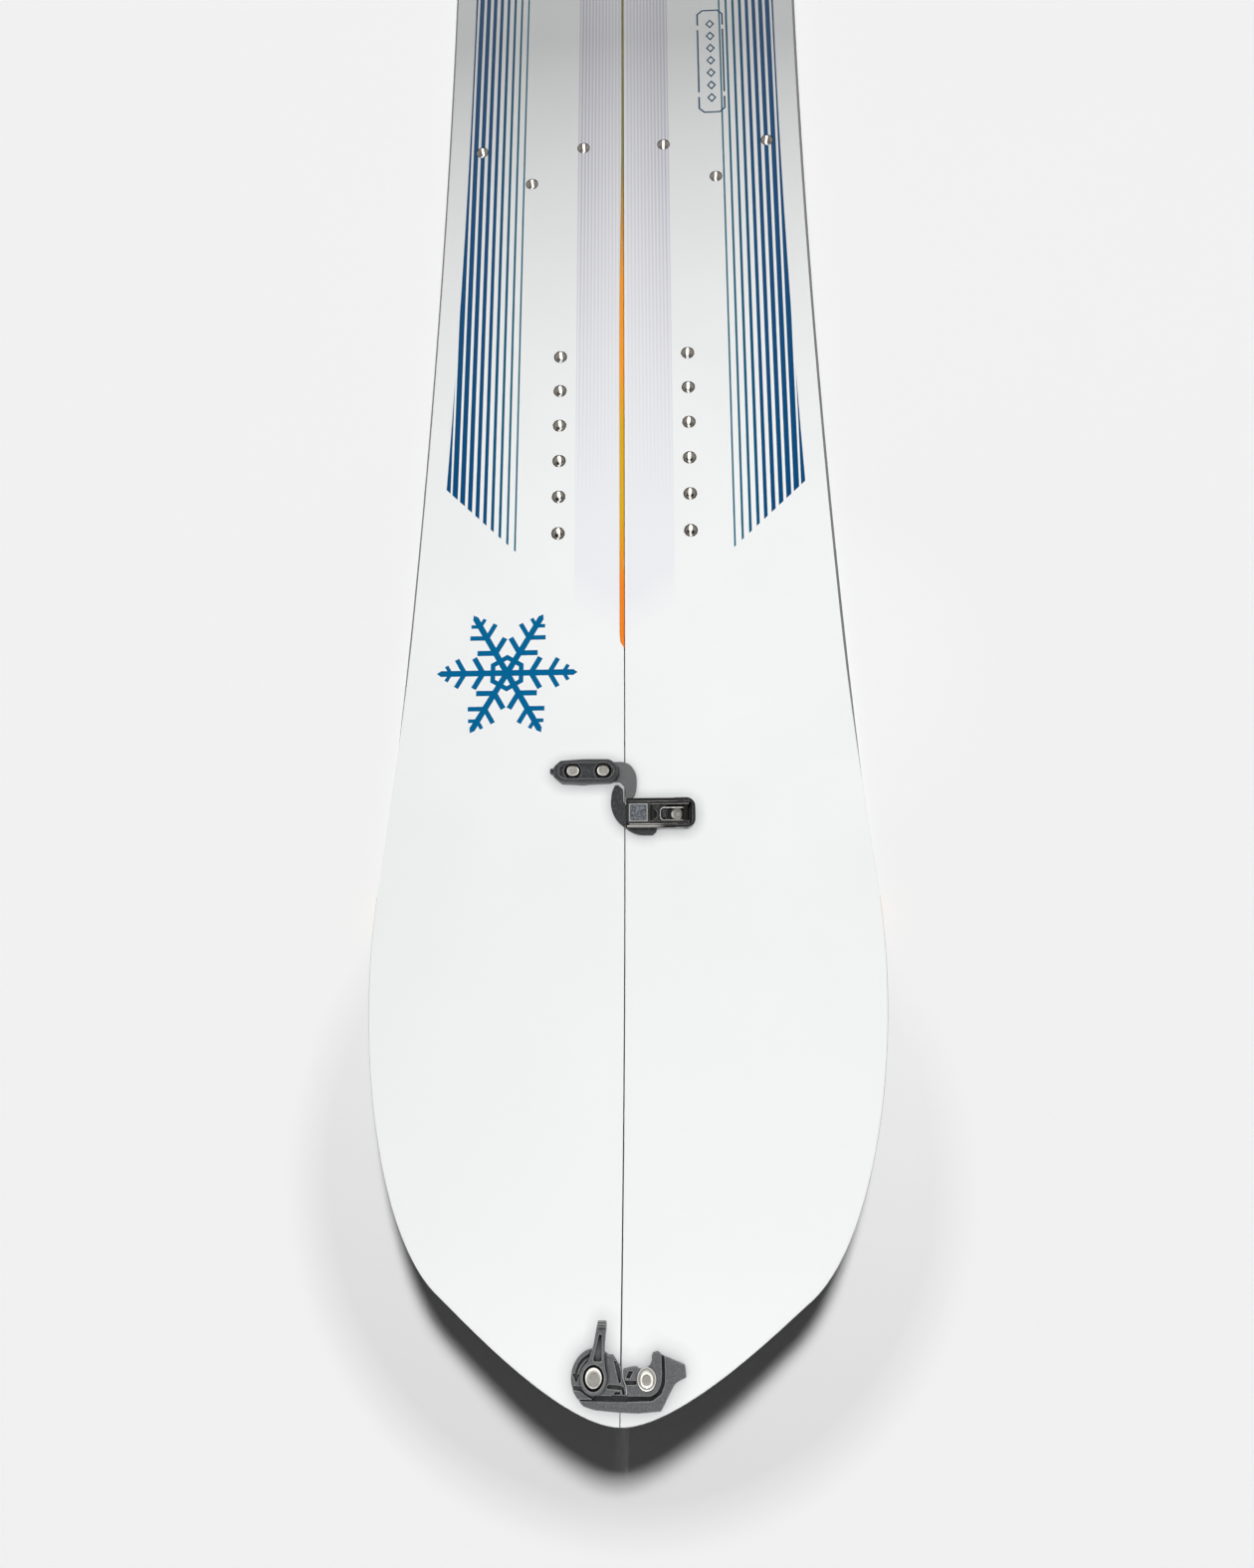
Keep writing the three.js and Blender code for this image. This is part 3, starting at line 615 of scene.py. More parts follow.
STRIPE_PITCH = 5.0
STRIPES = (70.0, 115.0)  # the thinnest and the thickest stripe's distance from the seam
STRIPE_WIDTHS = (1.15, 3.85)
STRIPE_RIM_GAP = 17.0
STRIPE_NOSE_END = 454.0
STRIPE_SLANT = 43.0 / 45.0
GRAPHIC_MIDDLE = 820.0  # the print is the same towards nose and tail of this station
PIN_SPAN = (3.0, 31.0)
PIN_PITCH = 2.4
CRYSTAL = ((-73.0, 373.0), 44.0)  # centre, as distance from the seam and station, and radius
BADGE_CENTRE = (63.0, 830.5)


def stripes(g, station, across):
    """Blue stripes along each flank: how much ink there is."""
    order = g.math("ROUND", (across - STRIPES[0]) / STRIPE_PITCH)
    order = order.most(0.0).least((STRIPES[1] - STRIPES[0]) / STRIPE_PITCH)
    centre = order * STRIPE_PITCH + STRIPES[0]
    growth = (STRIPE_WIDTHS[1] - STRIPE_WIDTHS[0]) * STRIPE_PITCH / (STRIPES[1] - STRIPES[0])
    half = (order * growth + STRIPE_WIDTHS[0]) * 0.5
    line = (half - (across - centre).size()).above(0.0, 0.25)
    from_middle = (station - GRAPHIC_MIDDLE).size()
    reach = (GRAPHIC_MIDDLE - STRIPE_NOSE_END) - (across - STRIPES[0]) * STRIPE_SLANT
    off_waist = station - WAIST_STATION
    rim = off_waist * off_waist * (0.5 / SIDECUT_RADIUS) + (WAIST_HALF_WIDTH - STRIPE_RIM_GAP)
    return line * from_middle.below(reach, 0.3) * across.below(rim, 0.3)


def pinstripes(g, station, across):
    """A pale band on each side of the seam, and the ink of its fine lines, which fade towards the tips."""
    order = g.math("ROUND", (across - PIN_SPAN[0]) / PIN_PITCH)
    centre = order * PIN_PITCH + PIN_SPAN[0]
    weight = (across - PIN_SPAN[0]) / (PIN_SPAN[1] - PIN_SPAN[0])
    line = (weight * 0.25 + 0.45 - (across - centre).size()).above(0.0, 0.7)
    from_middle = (station - GRAPHIC_MIDDLE).size()
    band = across.above(PIN_SPAN[0] - 1.2, 0.6) * across.below(PIN_SPAN[1] + 0.8, 0.6)
    band = band * from_middle.below(GRAPHIC_MIDDLE - 408.0 - across * 0.7, 30.0)
    strength = faded((340.0 - from_middle) / 260.0)
    return band, line * band * strength * (weight * 0.5 + 0.5)


def snow_crystal(g, station, x, centre, radius):
    """A six-armed snow crystal with two pairs of side needles on each arm and a hexagon at its heart."""
    u = x - centre[0]
    v = station - centre[1]
    distance = g.math("SQRT", u * u + v * v)
    angle = g.math("ARCTAN2", v, u)
    sector = math.pi / 3
    turned = g.math("SUBTRACT", angle, g.math("ROUND", angle / sector) * sector).size()
    along = distance * g.math("COSINE", turned)
    aside = distance * g.math("SINE", turned)
    arm = aside.below(1.9, 0.25) * along.below(radius, 0.25)
    tip = (along + aside * 1.4).below(radius, 0.25)
    ink = arm * tip
    for start, length, width in ((0.34, 0.26, 1.7), (0.60, 0.24, 1.5), (0.80, 0.13, 1.2)):
        s, c = math.sin(sector), math.cos(sector)
        forward = along - start * radius
        needle = (forward * s - aside * c).size().below(width, 0.25)
        reach = forward * c + aside * s
        ink = ink.most(needle * reach.above(0.0, 0.25) * reach.below(length * radius, 0.25))
    ring = (along - 0.2 * radius).size().below(1.5, 0.25)
    return ink.most(ring)


def badge(g, station, x):
    """A small plain panel: an outline with cut corners, and seven plain lozenges in it."""
    u = (x - BADGE_CENTRE[0]).size()
    v = (station - BADGE_CENTRE[1]).size()
    half_width, half_length, corner, pitch = 9.0, 45.5, 51.0, 11.0
    edge = (u - half_width).most(v - half_length).most((u + v - corner) * 0.7071)
    broken = (v - 30.0).size().above(2.0, 0.3).most(u.below(8.0))
    ink = edge.size().below(0.6, 0.2) * broken
    nearest = g.math("ROUND", (station - BADGE_CENTRE[1]) / pitch).most(-3.0).least(3.0)
    off = (station - BADGE_CENTRE[1] - nearest * pitch).size()
    return ink.most(((u * 1.25 + off) - 3.3).size().below(0.85, 0.2))


def make_topsheet():
    g = Graph("topsheet")
    station = g.y + LENGTH / 2
    across = g.x.size()
    g.colour = g.mix((240, 242, 242), (246, 247, 247), g.noise(60.0, 3.0))
    # Painted shade: the topsheet is painted greyer towards the raised nose, to hold back the extra light it
    # catches from the softbox.
    g.over((230, 231, 231), faded((290.0 - station) / 230.0) * 0.9)
    band, lines = pinstripes(g, station, across)
    g.over((232, 232, 238), band * 0.5)
    g.over((176, 172, 190), lines * 0.62)
    share = faded((across - STRIPES[0]) / (STRIPES[1] - STRIPES[0]) * 2.2)
    g.over(g.mix((10, 98, 118), (0, 70, 116), share), stripes(g, station, across))
    g.over((0, 98, 146), snow_crystal(g, station, g.x, *CRYSTAL) * g.x.below(0.0))
    g.over((6, 70, 98), badge(g, station, g.x) * g.x.above(0.0))
    # Painted shade: darker grey where nearby pieces hide the sky, as contact shadows round the fittings.
    g.over((116, 120, 122), faded(g.covered(8.0) * 1.6) * 0.6)
    grain = g.noise(0.35, 2.0)
    orange_peel = g.noise(4.0, 1.0)
    return g.finish(grain * 0.08 + 0.36, relief=grain * 0.35 + orange_peel, depth=0.012, specular=0.15)


# ---- the other materials ----

def make_core():
    """Upright strips of two woods, with plastic spacers in nose and tail and grey resin along the seam."""
    g = Graph("core")
    strips = g.x / 9.0
    kind = g.math("FRACT", g.math("SINE", g.math("FLOOR", strips) * 12.9898) * 43758.5453)
    grain = g.noise(0.9, 4.0, (1, 40, 1))
    pale = g.mix((222, 190, 140), (190, 150, 98), grain)
    dark = g.mix((176, 128, 78), (140, 96, 54), grain)
    g.colour = g.mix(pale, dark, kind.above(0.6, 0.02))
    g.over((120, 82, 48), g.noise(5.0, 3.0, (1, 30, 1)).above(0.62, 0.2) * 0.35)
    joint_line = (g.math("FRACT", strips) - 0.5).size().above(0.485, 0.01)
    g.over((92, 62, 36), joint_line * 0.7)
    speck = g.noise(0.6, 2.0)
    g.over(g.mix((120, 122, 124), (150, 152, 153), speck), g.y.size().above(LENGTH / 2 - 215.0, 1.0))
    g.over(g.mix((104, 106, 108), (138, 140, 141), speck), g.x.size().below(1.2, 0.3))
    return g.finish(grain * 0.2 + 0.5, relief=grain, depth=0.03)


def make_seam_sidewall():
    """Orange plastic that turns golden behind its nose end and dull olive towards the waist."""
    g = Graph("seam_sidewall")
    from_middle = (g.y + LENGTH / 2 - GRAPHIC_MIDDLE).size()
    drawn = g.noise(0.35, 3.0, (1, 80, 1))
    end = g.mix((238, 140, 40), (222, 116, 24), drawn)
    golden = g.mix((222, 176, 34), (204, 156, 22), drawn)
    fresh = g.mix((246, 166, 48), (230, 142, 28), drawn)
    dull = g.mix((150, 140, 66), (120, 112, 50), drawn)
    g.colour = g.mix(golden, end, faded((from_middle - 340.0) / 50.0))
    g.colour = g.mix(fresh, g.colour, faded((from_middle - 240.0) / 40.0))
    g.colour = g.mix(dull, g.colour, faded((from_middle - 70.0) / 100.0))
    g.over((236, 206, 150), g.noise(1.6, 4.0, (1, 6, 1)).above(0.66, 0.1) * 0.3)
    return g.finish(drawn * 0.2 + 0.42, relief=drawn, depth=0.015)


def make_base():
    """Stone-ground running base: fine lengthways structure with a crossed diagonal."""
    g = Graph("base")
    lines = g.noise(0.5, 2.0, (1, 200, 1))
    diagonal = g.math("SINE", (g.x + g.y * 0.35) * 4.2) * 0.5 + 0.5
    g.colour = g.mix((26, 28, 31), (46, 49, 53), lines * 0.7 + g.noise(45.0, 3.0) * 0.3)
    return g.finish(lines * 0.2 + 0.32, relief=lines * 0.8 + diagonal * 0.2, depth=0.02)


def make_marked(name, dark, light, marks, patches, roughness, depth, metallic=1.0):
    """Two tones mixed by fine marks and wider patches, each (share, size, detail, stretch)."""
    g = Graph(name)
    mark = g.noise(*marks[1:])
    g.colour = g.mix(dark, light, mark * marks[0] + g.noise(*patches[1:]) * patches[0])
    spread, least = roughness
    return g.finish(mark * spread + least, metallic, mark, depth)


def make_steel(name, dark, light, size, stretch, roughness, depth):
    """Steel with grinding or turning marks of a given size and direction."""
    marks = (0.6, size, 4.0, stretch)
    return make_marked(name, dark, light, marks, (0.4, 6.0, 2.0), (0.15, roughness), depth)


def make_housing(name, deep, pale, roughness):
    """Grained black moulding, with painted highlights along its edges and painted shade in its grooves and
    against neighbouring pieces.
    """
    g = Graph(name)
    grain = g.noise(0.7, 3.0)
    speck = g.noise(0.45, 1.0).above(0.62, 0.08)
    g.colour = g.mix(deep, pale, grain)
    g.over((140, 141, 143), speck * 0.35)
    # Painted highlight: pale along the edges, broken up by noise.
    g.over((186, 187, 184), faded(g.edges(0.45) * (g.noise(2.0, 3.0) * 0.7 + 0.5)) * 0.75)
    # Painted shade: near black in grooves, pockets and against neighbouring pieces.
    g.over((3, 3, 4), g.hollows(2.6))
    return g.finish(grain * 0.3 + roughness, relief=grain + speck * 0.5, depth=0.05, specular=0.3)


def make_hook_plate():
    g = Graph("hook_plate")
    grain = g.noise(0.6, 3.0)
    streak = g.noise(1.2, 3.0, (4, 1, 1))
    g.colour = g.mix((88, 90, 91), (122, 124, 124), grain * 0.5 + streak * 0.5)
    # Painted highlight: paler along the edges.
    g.over((170, 171, 170), g.edges(0.3) * 0.5)
    # Painted shade: near black in hollows and against neighbouring pieces.
    g.over((12, 12, 13), g.hollows(2.0))
    return g.finish(grain * 0.2 + 0.38, metallic=0.3, relief=grain, depth=0.03)


def off_clip_line(g, offset):
    """How far a point is, along the board, from a line at an offset from the nearer centre clip."""
    front, rear = ((g.y - (y_of(station) + offset)).size() for station in CLIP_STATIONS.values())
    return front.least(rear)


def make_latch_metal():
    """Glossy black metal with painted highlights on its edges and along a rail, painted shade in its
    grooves, and a pebbled thumb pad with a bright rim.
    """
    g = Graph("latch_metal")
    grain = g.noise(0.9, 3.0)
    g.colour = g.mix((6, 6, 7), (18, 18, 19), grain)
    # Painted highlight: pale on the edges, broken up by noise, and as a band along the nose-side rail.
    edge_highlight = g.edges(0.3) * (g.noise(1.5, 3.0) * 0.9 + 0.3)
    rail = off_clip_line(g, -23.7).below(0.8, 0.3) * g.z.above(16.0) * g.x.above(1.8)
    edge_highlight = edge_highlight.most(rail * faded((24.0 - g.x) / 6.0))
    g.over((236, 233, 226), faded(edge_highlight) * 0.85)
    pebbles = g.noise(0.8, 2.0).above(0.5, 0.25)
    off_pad = ((g.x - 8.3).size() - 5.1).most(off_clip_line(g, LATCH_MIDLINE) - 4.9)
    pad_top = g.z.above(18.35, 0.1)
    on_pad = off_pad.below(0.2, 0.2) * pad_top
    g.over(g.mix((40, 42, 46), (138, 143, 150), pebbles), on_pad * 0.9)
    g.over((176, 177, 176), off_pad.size().below(0.4, 0.3) * pad_top * 0.8)
    # Painted shade: near black in grooves and against neighbouring pieces.
    g.over((3, 3, 3), g.hollows(2.5) * 0.8)
    roughness = grain * 0.12 + 0.14 + on_pad * 0.3
    return g.finish(roughness, metallic=0.4, relief=grain * 0.3 + pebbles * on_pad, depth=0.08, coat=0.3)


def make_insert_steel():
    """Turned steel, with a highlight painted lengthways through the middle of each bore, where a thread
    would catch the light, and made to glow a little.
    """
    g = Graph("insert_steel")
    turned = g.noise(0.5, 3.0)
    across = g.x.size()
    streak = across.below(-1.0)
    for line in INSERT_LINES:
        streak = streak.most((across - line).size().below(0.75, 0.6))
    g.colour = g.mix((84, 80, 74), (136, 131, 123), turned)
    # Painted highlight: a bright streak down the middle of each bore, which also glows.
    g.over((245, 243, 238), streak)
    g.glow(streak * 0.35)
    return g.finish(turned * 0.15 + 0.24, metallic=1.0, relief=turned, depth=0.01)


ALONG = (1, 60, 1)  # marks drawn out along the ski
EVEN = (1, 1, 1)
MATERIALS = {
    "topsheet": make_topsheet(),
    "core": make_core(),
    "sidewall": make_marked("sidewall", (58, 60, 62), (98, 99, 99), (0.7, 0.4, 3.0, ALONG), (0.3, 0.8, 2.0),
                            (0.25, 0.4), 0.02, 0.0),
    "seam_sidewall": make_seam_sidewall(),
    "base": make_base(),
    "edge_steel": make_steel("edge_steel", (120, 122, 125), (176, 178, 180), 0.3, ALONG, 0.28, 0.01),
    "insert_steel": make_insert_steel(),
    "screw_steel": make_steel("screw_steel", (190, 187, 180), (236, 234, 228), 0.6, EVEN, 0.16, 0.008),
    "clip_housing": make_housing("clip_housing", (56, 57, 59), (112, 114, 115), 0.32),
    "hook_housing": make_housing("hook_housing", (26, 27, 28), (66, 68, 70), 0.2),
    "hook_plate": make_hook_plate(),
    "latch_metal": make_latch_metal(),
    "dark_pin": make_steel("dark_pin", (30, 30, 29), (58, 57, 55), 0.6, EVEN, 0.3, 0.008),
}
PIECES = []


def put(name, body, place, rides_on, slot, material=None):
    PIECES.append(finish(name, body, place, rides_on, MATERIALS[material or slot]))


# ---- the two skis ----

WHOLE = (0.0, LENGTH)
SLANT_SPAN = (400.0, 1250.0)  # where the outer sidewall slants most
RIM_STEP = 0.45  # how far the sheet and the core stand in from the outline at nose and tail


def rim_inset(station):
    """How far the topsheet stops short of the outline: more where the sidewall slants."""
    (edge_start, edge_end), (start, end) = EDGE_SPAN, SLANT_SPAN
    slant = smooth_step(edge_start, start, station) - smooth_step(end, edge_end, station)
    return 0.75 + 2.65 * slant


def seam_bevel(side, station):
    """Width of the orange bevel beside the seam, which shows on the left ski only."""
    if side > 0:
        return 0.0
    start, end = INNER_SIDEWALL_SPAN
    shown = smooth_step(start - 1.0, start + 5.0, station) - smooth_step(end - 5.0, end + 1.0, station)
    from_waist = abs(station - 850.0)
    return shown * (2.7 - 1.6 * (1.0 - smooth_step(60.0, 260.0, from_waist)))


def topsheet_section(side, station):
    rim = rim_inset(station)
    seam = SEAM_HALF_GAP + 0.1 + seam_bevel(side, station)
    outer = [(rim, SHEET_THICKNESS), (rim, 0.45), (rim + 0.1, 0.18), (rim + 0.35, 0.03)]
    outer += [(rim + 0.8, 0), (RIM_DEPTH, 0)]
    inner = ((seam + 0.3, 0), (seam + 0.08, 0.08), (seam, 0.3), (seam, SHEET_THICKNESS))
    loop = [("rim", distance, down(depth)) for distance, depth in outer]
    return loop + [("seam", distance, down(depth)) for distance, depth in inner]


UNDER_SHEET = down(SHEET_THICKNESS + GLUE_GAP)
OVER_BASE = up(BASE_THICKNESS + GLUE_GAP)


def core_section(_side, station):
    seam, rim = SEAM_HALF_GAP, RIM_STEP
    if within(INNER_SIDEWALL_SPAN, station):
        seam += INNER_SIDEWALL_WIDTH + GLUE_GAP
    if within(SIDEWALL_SPAN, station):
        rim = SIDEWALL_WIDTH + GLUE_GAP
    low = [("seam", seam, OVER_BASE), ("rim", rim, OVER_BASE)]
    return low + [("rim", rim, UNDER_SHEET), ("rim", RIM_DEPTH, UNDER_SHEET), ("seam", seam, UNDER_SHEET)]


def outer_sidewall_section(_side, station):
    low = [("rim", SIDEWALL_WIDTH, OVER_BASE), ("rim", 0.1, OVER_BASE)]
    low.append(("rim", 0.1, up(BASE_THICKNESS + 0.6)))
    return low + [("rim", rim_inset(station) - 0.15, UNDER_SHEET), ("rim", SIDEWALL_WIDTH, UNDER_SHEET)]


def inner_sidewall_section(side, station):
    bevel = seam_bevel(side, station)
    near, far = SEAM_HALF_GAP, SEAM_HALF_GAP + INNER_SIDEWALL_WIDTH
    shoulder = down(SHEET_THICKNESS + GLUE_GAP + 0.1 + bevel * 0.3)
    low = [("seam", far, OVER_BASE), ("seam", near, OVER_BASE), ("seam", near, shoulder)]
    return low + [("seam", near + 0.1 + bevel * 0.9, UNDER_SHEET), ("seam", far, UNDER_SHEET)]


def base_section(_side, station):
    inset_by = EDGE_WIDTH + GLUE_GAP if within(EDGE_SPAN, station) else 0.0
    seam, top = SEAM_HALF_GAP + inset_by, up(BASE_THICKNESS)
    low = [("seam", seam, up(0)), ("rim", inset_by + 0.1, up(0)), ("rim", inset_by, up(0.15))]
    return low + [("rim", inset_by, top), ("seam", seam, top)]


def outer_edge_section(_side, _station):
    corner, top = 0.15, BASE_THICKNESS
    loop = [(EDGE_WIDTH, 0), (corner, 0), (0.0, corner)]
    loop += [(0.0, top - corner), (corner, top), (EDGE_WIDTH, top)]
    return [("rim", distance, up(height)) for distance, height in loop]


def inner_edge_section(_side, _station):
    near, far, top = SEAM_HALF_GAP, SEAM_HALF_GAP + EDGE_WIDTH, BASE_THICKNESS
    loop = ((far, 0), (near + 0.15, 0), (near, 0.15), (near, top), (far, top))
    return [("seam", distance, up(height)) for distance, height in loop]


def row_points(node):
    """Centres of a row of inserts, from the box of its CAD node."""
    low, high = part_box(node)
    x = (low.x + high.x) / 2 / MM
    middle = (low.y + high.y) / 2 / MM
    return [(x, middle + (i - 2.5) * INSERT_PITCH) for i in range(6)]


def insert_groups(side, name):
    """Centres of each group of inserts: rows, a triangle, a square and a pair under each centre clip."""
    near, far = (side * line for line in TOURING_LINES)
    apex_y = y_of(TOURING_STATION)
    back_y = apex_y + TOURING_DEPTH
    x, y, half = side * HEEL_LINE, y_of(HEEL_STATION), INSERT_PITCH / 2
    screws, line = (HOOK_SCREWS, HOOK_SCREW_LINE) if side < 0 else (LATCH_SCREWS, LATCH_MIDLINE)
    groups = {f"{row}_inserts": row_points(f"{name}_{row}_inserts") for row in ("front", "rear")}
    groups["touring_inserts"] = [(near, back_y), (far, back_y), ((near + far) / 2, apex_y)]
    groups["heel_inserts"] = [(x + i * half, y + j * half) for i, j in ((-1, -1), (1, -1), (1, 1), (-1, 1))]
    for clip, station in CLIP_STATIONS.items():
        groups[f"{clip}_clip_inserts"] = [(screw_x, y_of(station) + line) for screw_x in screws]
    return groups


def insert(x, y):
    """A stainless barrel with a countersunk, threaded blind bore."""
    station = y + LENGTH / 2
    bottom = base_height(station) + BASE_THICKNESS + 0.4
    top = top_height(station) - 0.15
    floor = bottom + 0.9
    profile = [(INSERT_RADIUS - 0.2, bottom), (INSERT_RADIUS, bottom + 0.2), (INSERT_RADIUS, top - 0.25)]
    profile += [(INSERT_RADIUS - 0.08, top - 0.06), (INSERT_RADIUS - 0.25, top)]
    profile += [(3.15, top), (2.75, top - 0.4)]
    height = top - 0.5
    while height > floor + 0.6:
        profile += [(2.55, height), (2.95, height - 0.35)]
        height -= 0.7
    profile += [(2.6, floor + 0.2), (2.4, floor)]
    return lathe(x, y, profile, 40)


def tip_place(joint_name, turned):
    """From a tip clip's own frame to the row frame, by way of its lever's hinge in the record."""
    joint = next(j for j in frame["joints"] if j["name"] == joint_name)
    normal = Vector(joint["axis"]).normalized()
    middle = Vector(joint["pos_m"]) / MM
    middle.x = 0
    across = Vector((1, 0, 0))
    along = normal.cross(across)
    seat = Matrix((across, along, normal)).transposed().to_4x4()
    seat.translation = middle
    return seat @ Matrix.Rotation(math.pi if turned else 0.0, 4, "Z")


TIP_PLACES = {"nose": tip_place("nose_lever_turn", False), "tail": tip_place("tail_lever_turn", True)}


def screw_holes(side, groups):
    """Cutters for every insert and for the screws of the clips at nose and tail."""
    holes = []
    for x, y in (point for points in groups.values() for point in points):
        station = y + LENGTH / 2
        low = base_height(station) + BASE_THICKNESS / 2
        holes.append(drill(x, y, INSERT_RADIUS + FIT_GAP, low, low + 30))
    for end, place in TIP_PLACES.items():
        local_side = side if end == "nose" else -side
        hole = drill(local_side * TIP_SCREW_X, 0, SCREW_HOLE, -3.6, 8.0)
        hole.data.transform(place)
        holes.append(hole)
    return joined(holes)


SKI_BANDS = (
    ("topsheet", WHOLE, topsheet_section, "topsheet"),
    ("core", WHOLE, core_section, "core"),
    ("outer_sidewall", SIDEWALL_SPAN, outer_sidewall_section, "sidewall"),
    ("inner_sidewall", INNER_SIDEWALL_SPAN, inner_sidewall_section, "seam_sidewall"),
    ("base", WHOLE, base_section, "base"),
    ("outer_edge", EDGE_SPAN, outer_edge_section, "edge_steel"),
    ("inner_edge", EDGE_SPAN, inner_edge_section, "edge_steel"),
)


def build_ski(side, name):
    groups = insert_groups(side, name)
    for part, span, section, slot in SKI_BANDS:
        band = ski_band(side, span, section)
        if part in ("topsheet", "core"):
            carve(band, [screw_holes(side, groups)])
        put(f"{name}_{part}", band, Matrix.Identity(4), f"{name}_ski", slot)
    for group, points in groups.items():
        barrels = joined([insert(x, y) for x, y in points])
        put(f"{name}_{group}", barrels, Matrix.Identity(4), f"{name}_ski", "insert_steel")


# ---- screws ----

def screw(x, y, seat, radius, head, shank, tip, washer=0.0):
    """A domed stainless screw with a hexagon socket, and a washer where one is asked for."""
    pitch = 0.8
    profile = [(shank * 0.55, tip), (shank, tip + 0.8)]
    height = tip + 0.8
    while height < seat - 1.2:
        profile += [(shank - 0.25, height + pitch / 2), (shank, height + pitch)]
        height += pitch
    profile += [(shank, seat)]
    if washer:
        profile += [(washer - 0.15, seat), (washer, seat + 0.15), (washer, seat + 0.45)]
        profile += [(washer - 0.2, seat + 0.6), (radius + 0.05, seat + 0.6)]
        seat += 0.5
    profile += [(radius - 0.1, seat + 0.12), (radius, seat + 0.3), (radius, seat + head * 0.4)]
    steps = 8
    for i in range(1, steps):
        a = math.pi / 2 * i / steps
        dome = (radius * 0.42 + radius * 0.58 * math.cos(a), seat + head * (0.4 + 0.6 * math.sin(a)))
        profile.append(dome)
    top = seat + head
    profile += [(radius * 0.42, top)]
    body = lathe(x, y, profile, 56)
    cone = lathe(x, y, [(1.3, top - 1.1), (1.75, top - 0.3), (2.15, top + 0.1), (2.3, top + 1)], 48)
    socket = slab(circle(x, y, 1.65, 6), [(top - 1.5, 0), (top + 1, 0)])
    return carve(body, [cone, socket])


# ---- centre clip ----

CLIP_LIFT = 0.35


def hook_block():
    body = plate([
        (-41.8, 5.6, 1.6), (-37.6, 2.3, 3.0), (-24, 1.5, 30), (-7.2, 2.0, 4.0), (-3.5, 6.2, 4.5),
        (-3.5, 11.6, 4.5), (-8.2, 16.0, 5.0), (-24, 16.2, 30), (-37.8, 15.3, 3.0), (-41.8, 11.6, 1.6),
    ], soft_top(CLIP_LIFT, 9.5, 1.3))
    nub = plate(oblong(-44.6, 8.2, -40, 11.6, 0.6, 0, 0, 0.6), soft_top(CLIP_LIFT, 4, 0.4))
    trough = plate([
        (-38.4, 6.6, 1.4), (-35.4, 4.5, 1.8), (-9.2, 4.4, 3.2), (-6.2, 8.0, 3.0), (-6.2, 10.2, 3.0),
        (-9.6, 13.6, 3.2), (-35.4, 13.4, 1.8), (-38.4, 11.4, 1.4),
    ], pocket(7.0, 9.5, 0.35))
    wells = [slab(circle(x, HOOK_SCREW_LINE - 0.9, 5.1), pocket(4.3, 7.0, 0.3)) for x in HOOK_SCREWS]
    holes = [drill(x, HOOK_SCREW_LINE, SCREW_HOLE, -2, 12) for x in HOOK_SCREWS]
    plate_room = plate(oblong(-23, -2, 0, 20), [(-2, 0), (2.65, 0)])
    return carve(body, [trough, *wells, plate_room, *holes], [nub])


def hook_plate():
    body = plate([
        (-22.5, 3.2, 1.0), (-2.6, 3.2, 3.0), (0.0, 0.2, 3.0), (0.5, -6.6, 1.2), (5.2, -6.6, 2.6),
        (7.2, -1.5, 40), (7.3, 8.5, 40), (2.0, 15.6, 40), (-22.5, 15.6, 1.0),
    ], soft_top(CLIP_LIFT, 2.35, 0.45), 8)
    return carve(body, [drill(HOOK_SCREWS[1], HOOK_SCREW_LINE, SCREW_HOLE, -2, 12)])


def latch_base():
    x0, x1, y0, y1 = 0.8, 41.4, -25.2, -7.5
    wall = 1.6
    open_end = x0 - 2
    body = plate(oblong(x0, y0, x1, y1, 1.2, 5.2, 5.2, 1.2), soft_top(CLIP_LIFT, 10.5, 0.6), 10)
    side_view = [(-3, 8.5, 0), (28.5, 8.5, 0), (31.5, 10.5, 0), (31.5, 14, 0), (-3, 14, 0)]
    shoulder = upright_side(plate(side_view, [(5, 0), (28, 0)]))
    inside = oblong(open_end, y0 + wall, x1 - wall, y1 - wall, 0, 3.4, 3.4, 0)
    hollow = plate(inside, [(1.45, 0), (20, 0)], 8)
    door = plate(oblong(open_end, y0 - 1, 19.8, y0 + wall + 1), [(1.45, 0), (5.5, 0)])
    pin_hole = rod([Vector((PIVOT[0], -27, PIVOT[1])), Vector((PIVOT[0], -5, PIVOT[1]))], 1.66, 32)
    holes = [drill(x, LATCH_MIDLINE, SCREW_HOLE, -2, 3) for x in LATCH_SCREWS]
    return carve(body, [shoulder, hollow, door, pin_hole, *holes])


def latch_pin():
    ends = [Vector((PIVOT[0], -25.0, PIVOT[1])), Vector((PIVOT[0], -7.7, PIVOT[1]))]
    return rod(ends, 1.5, 32, 0.25)


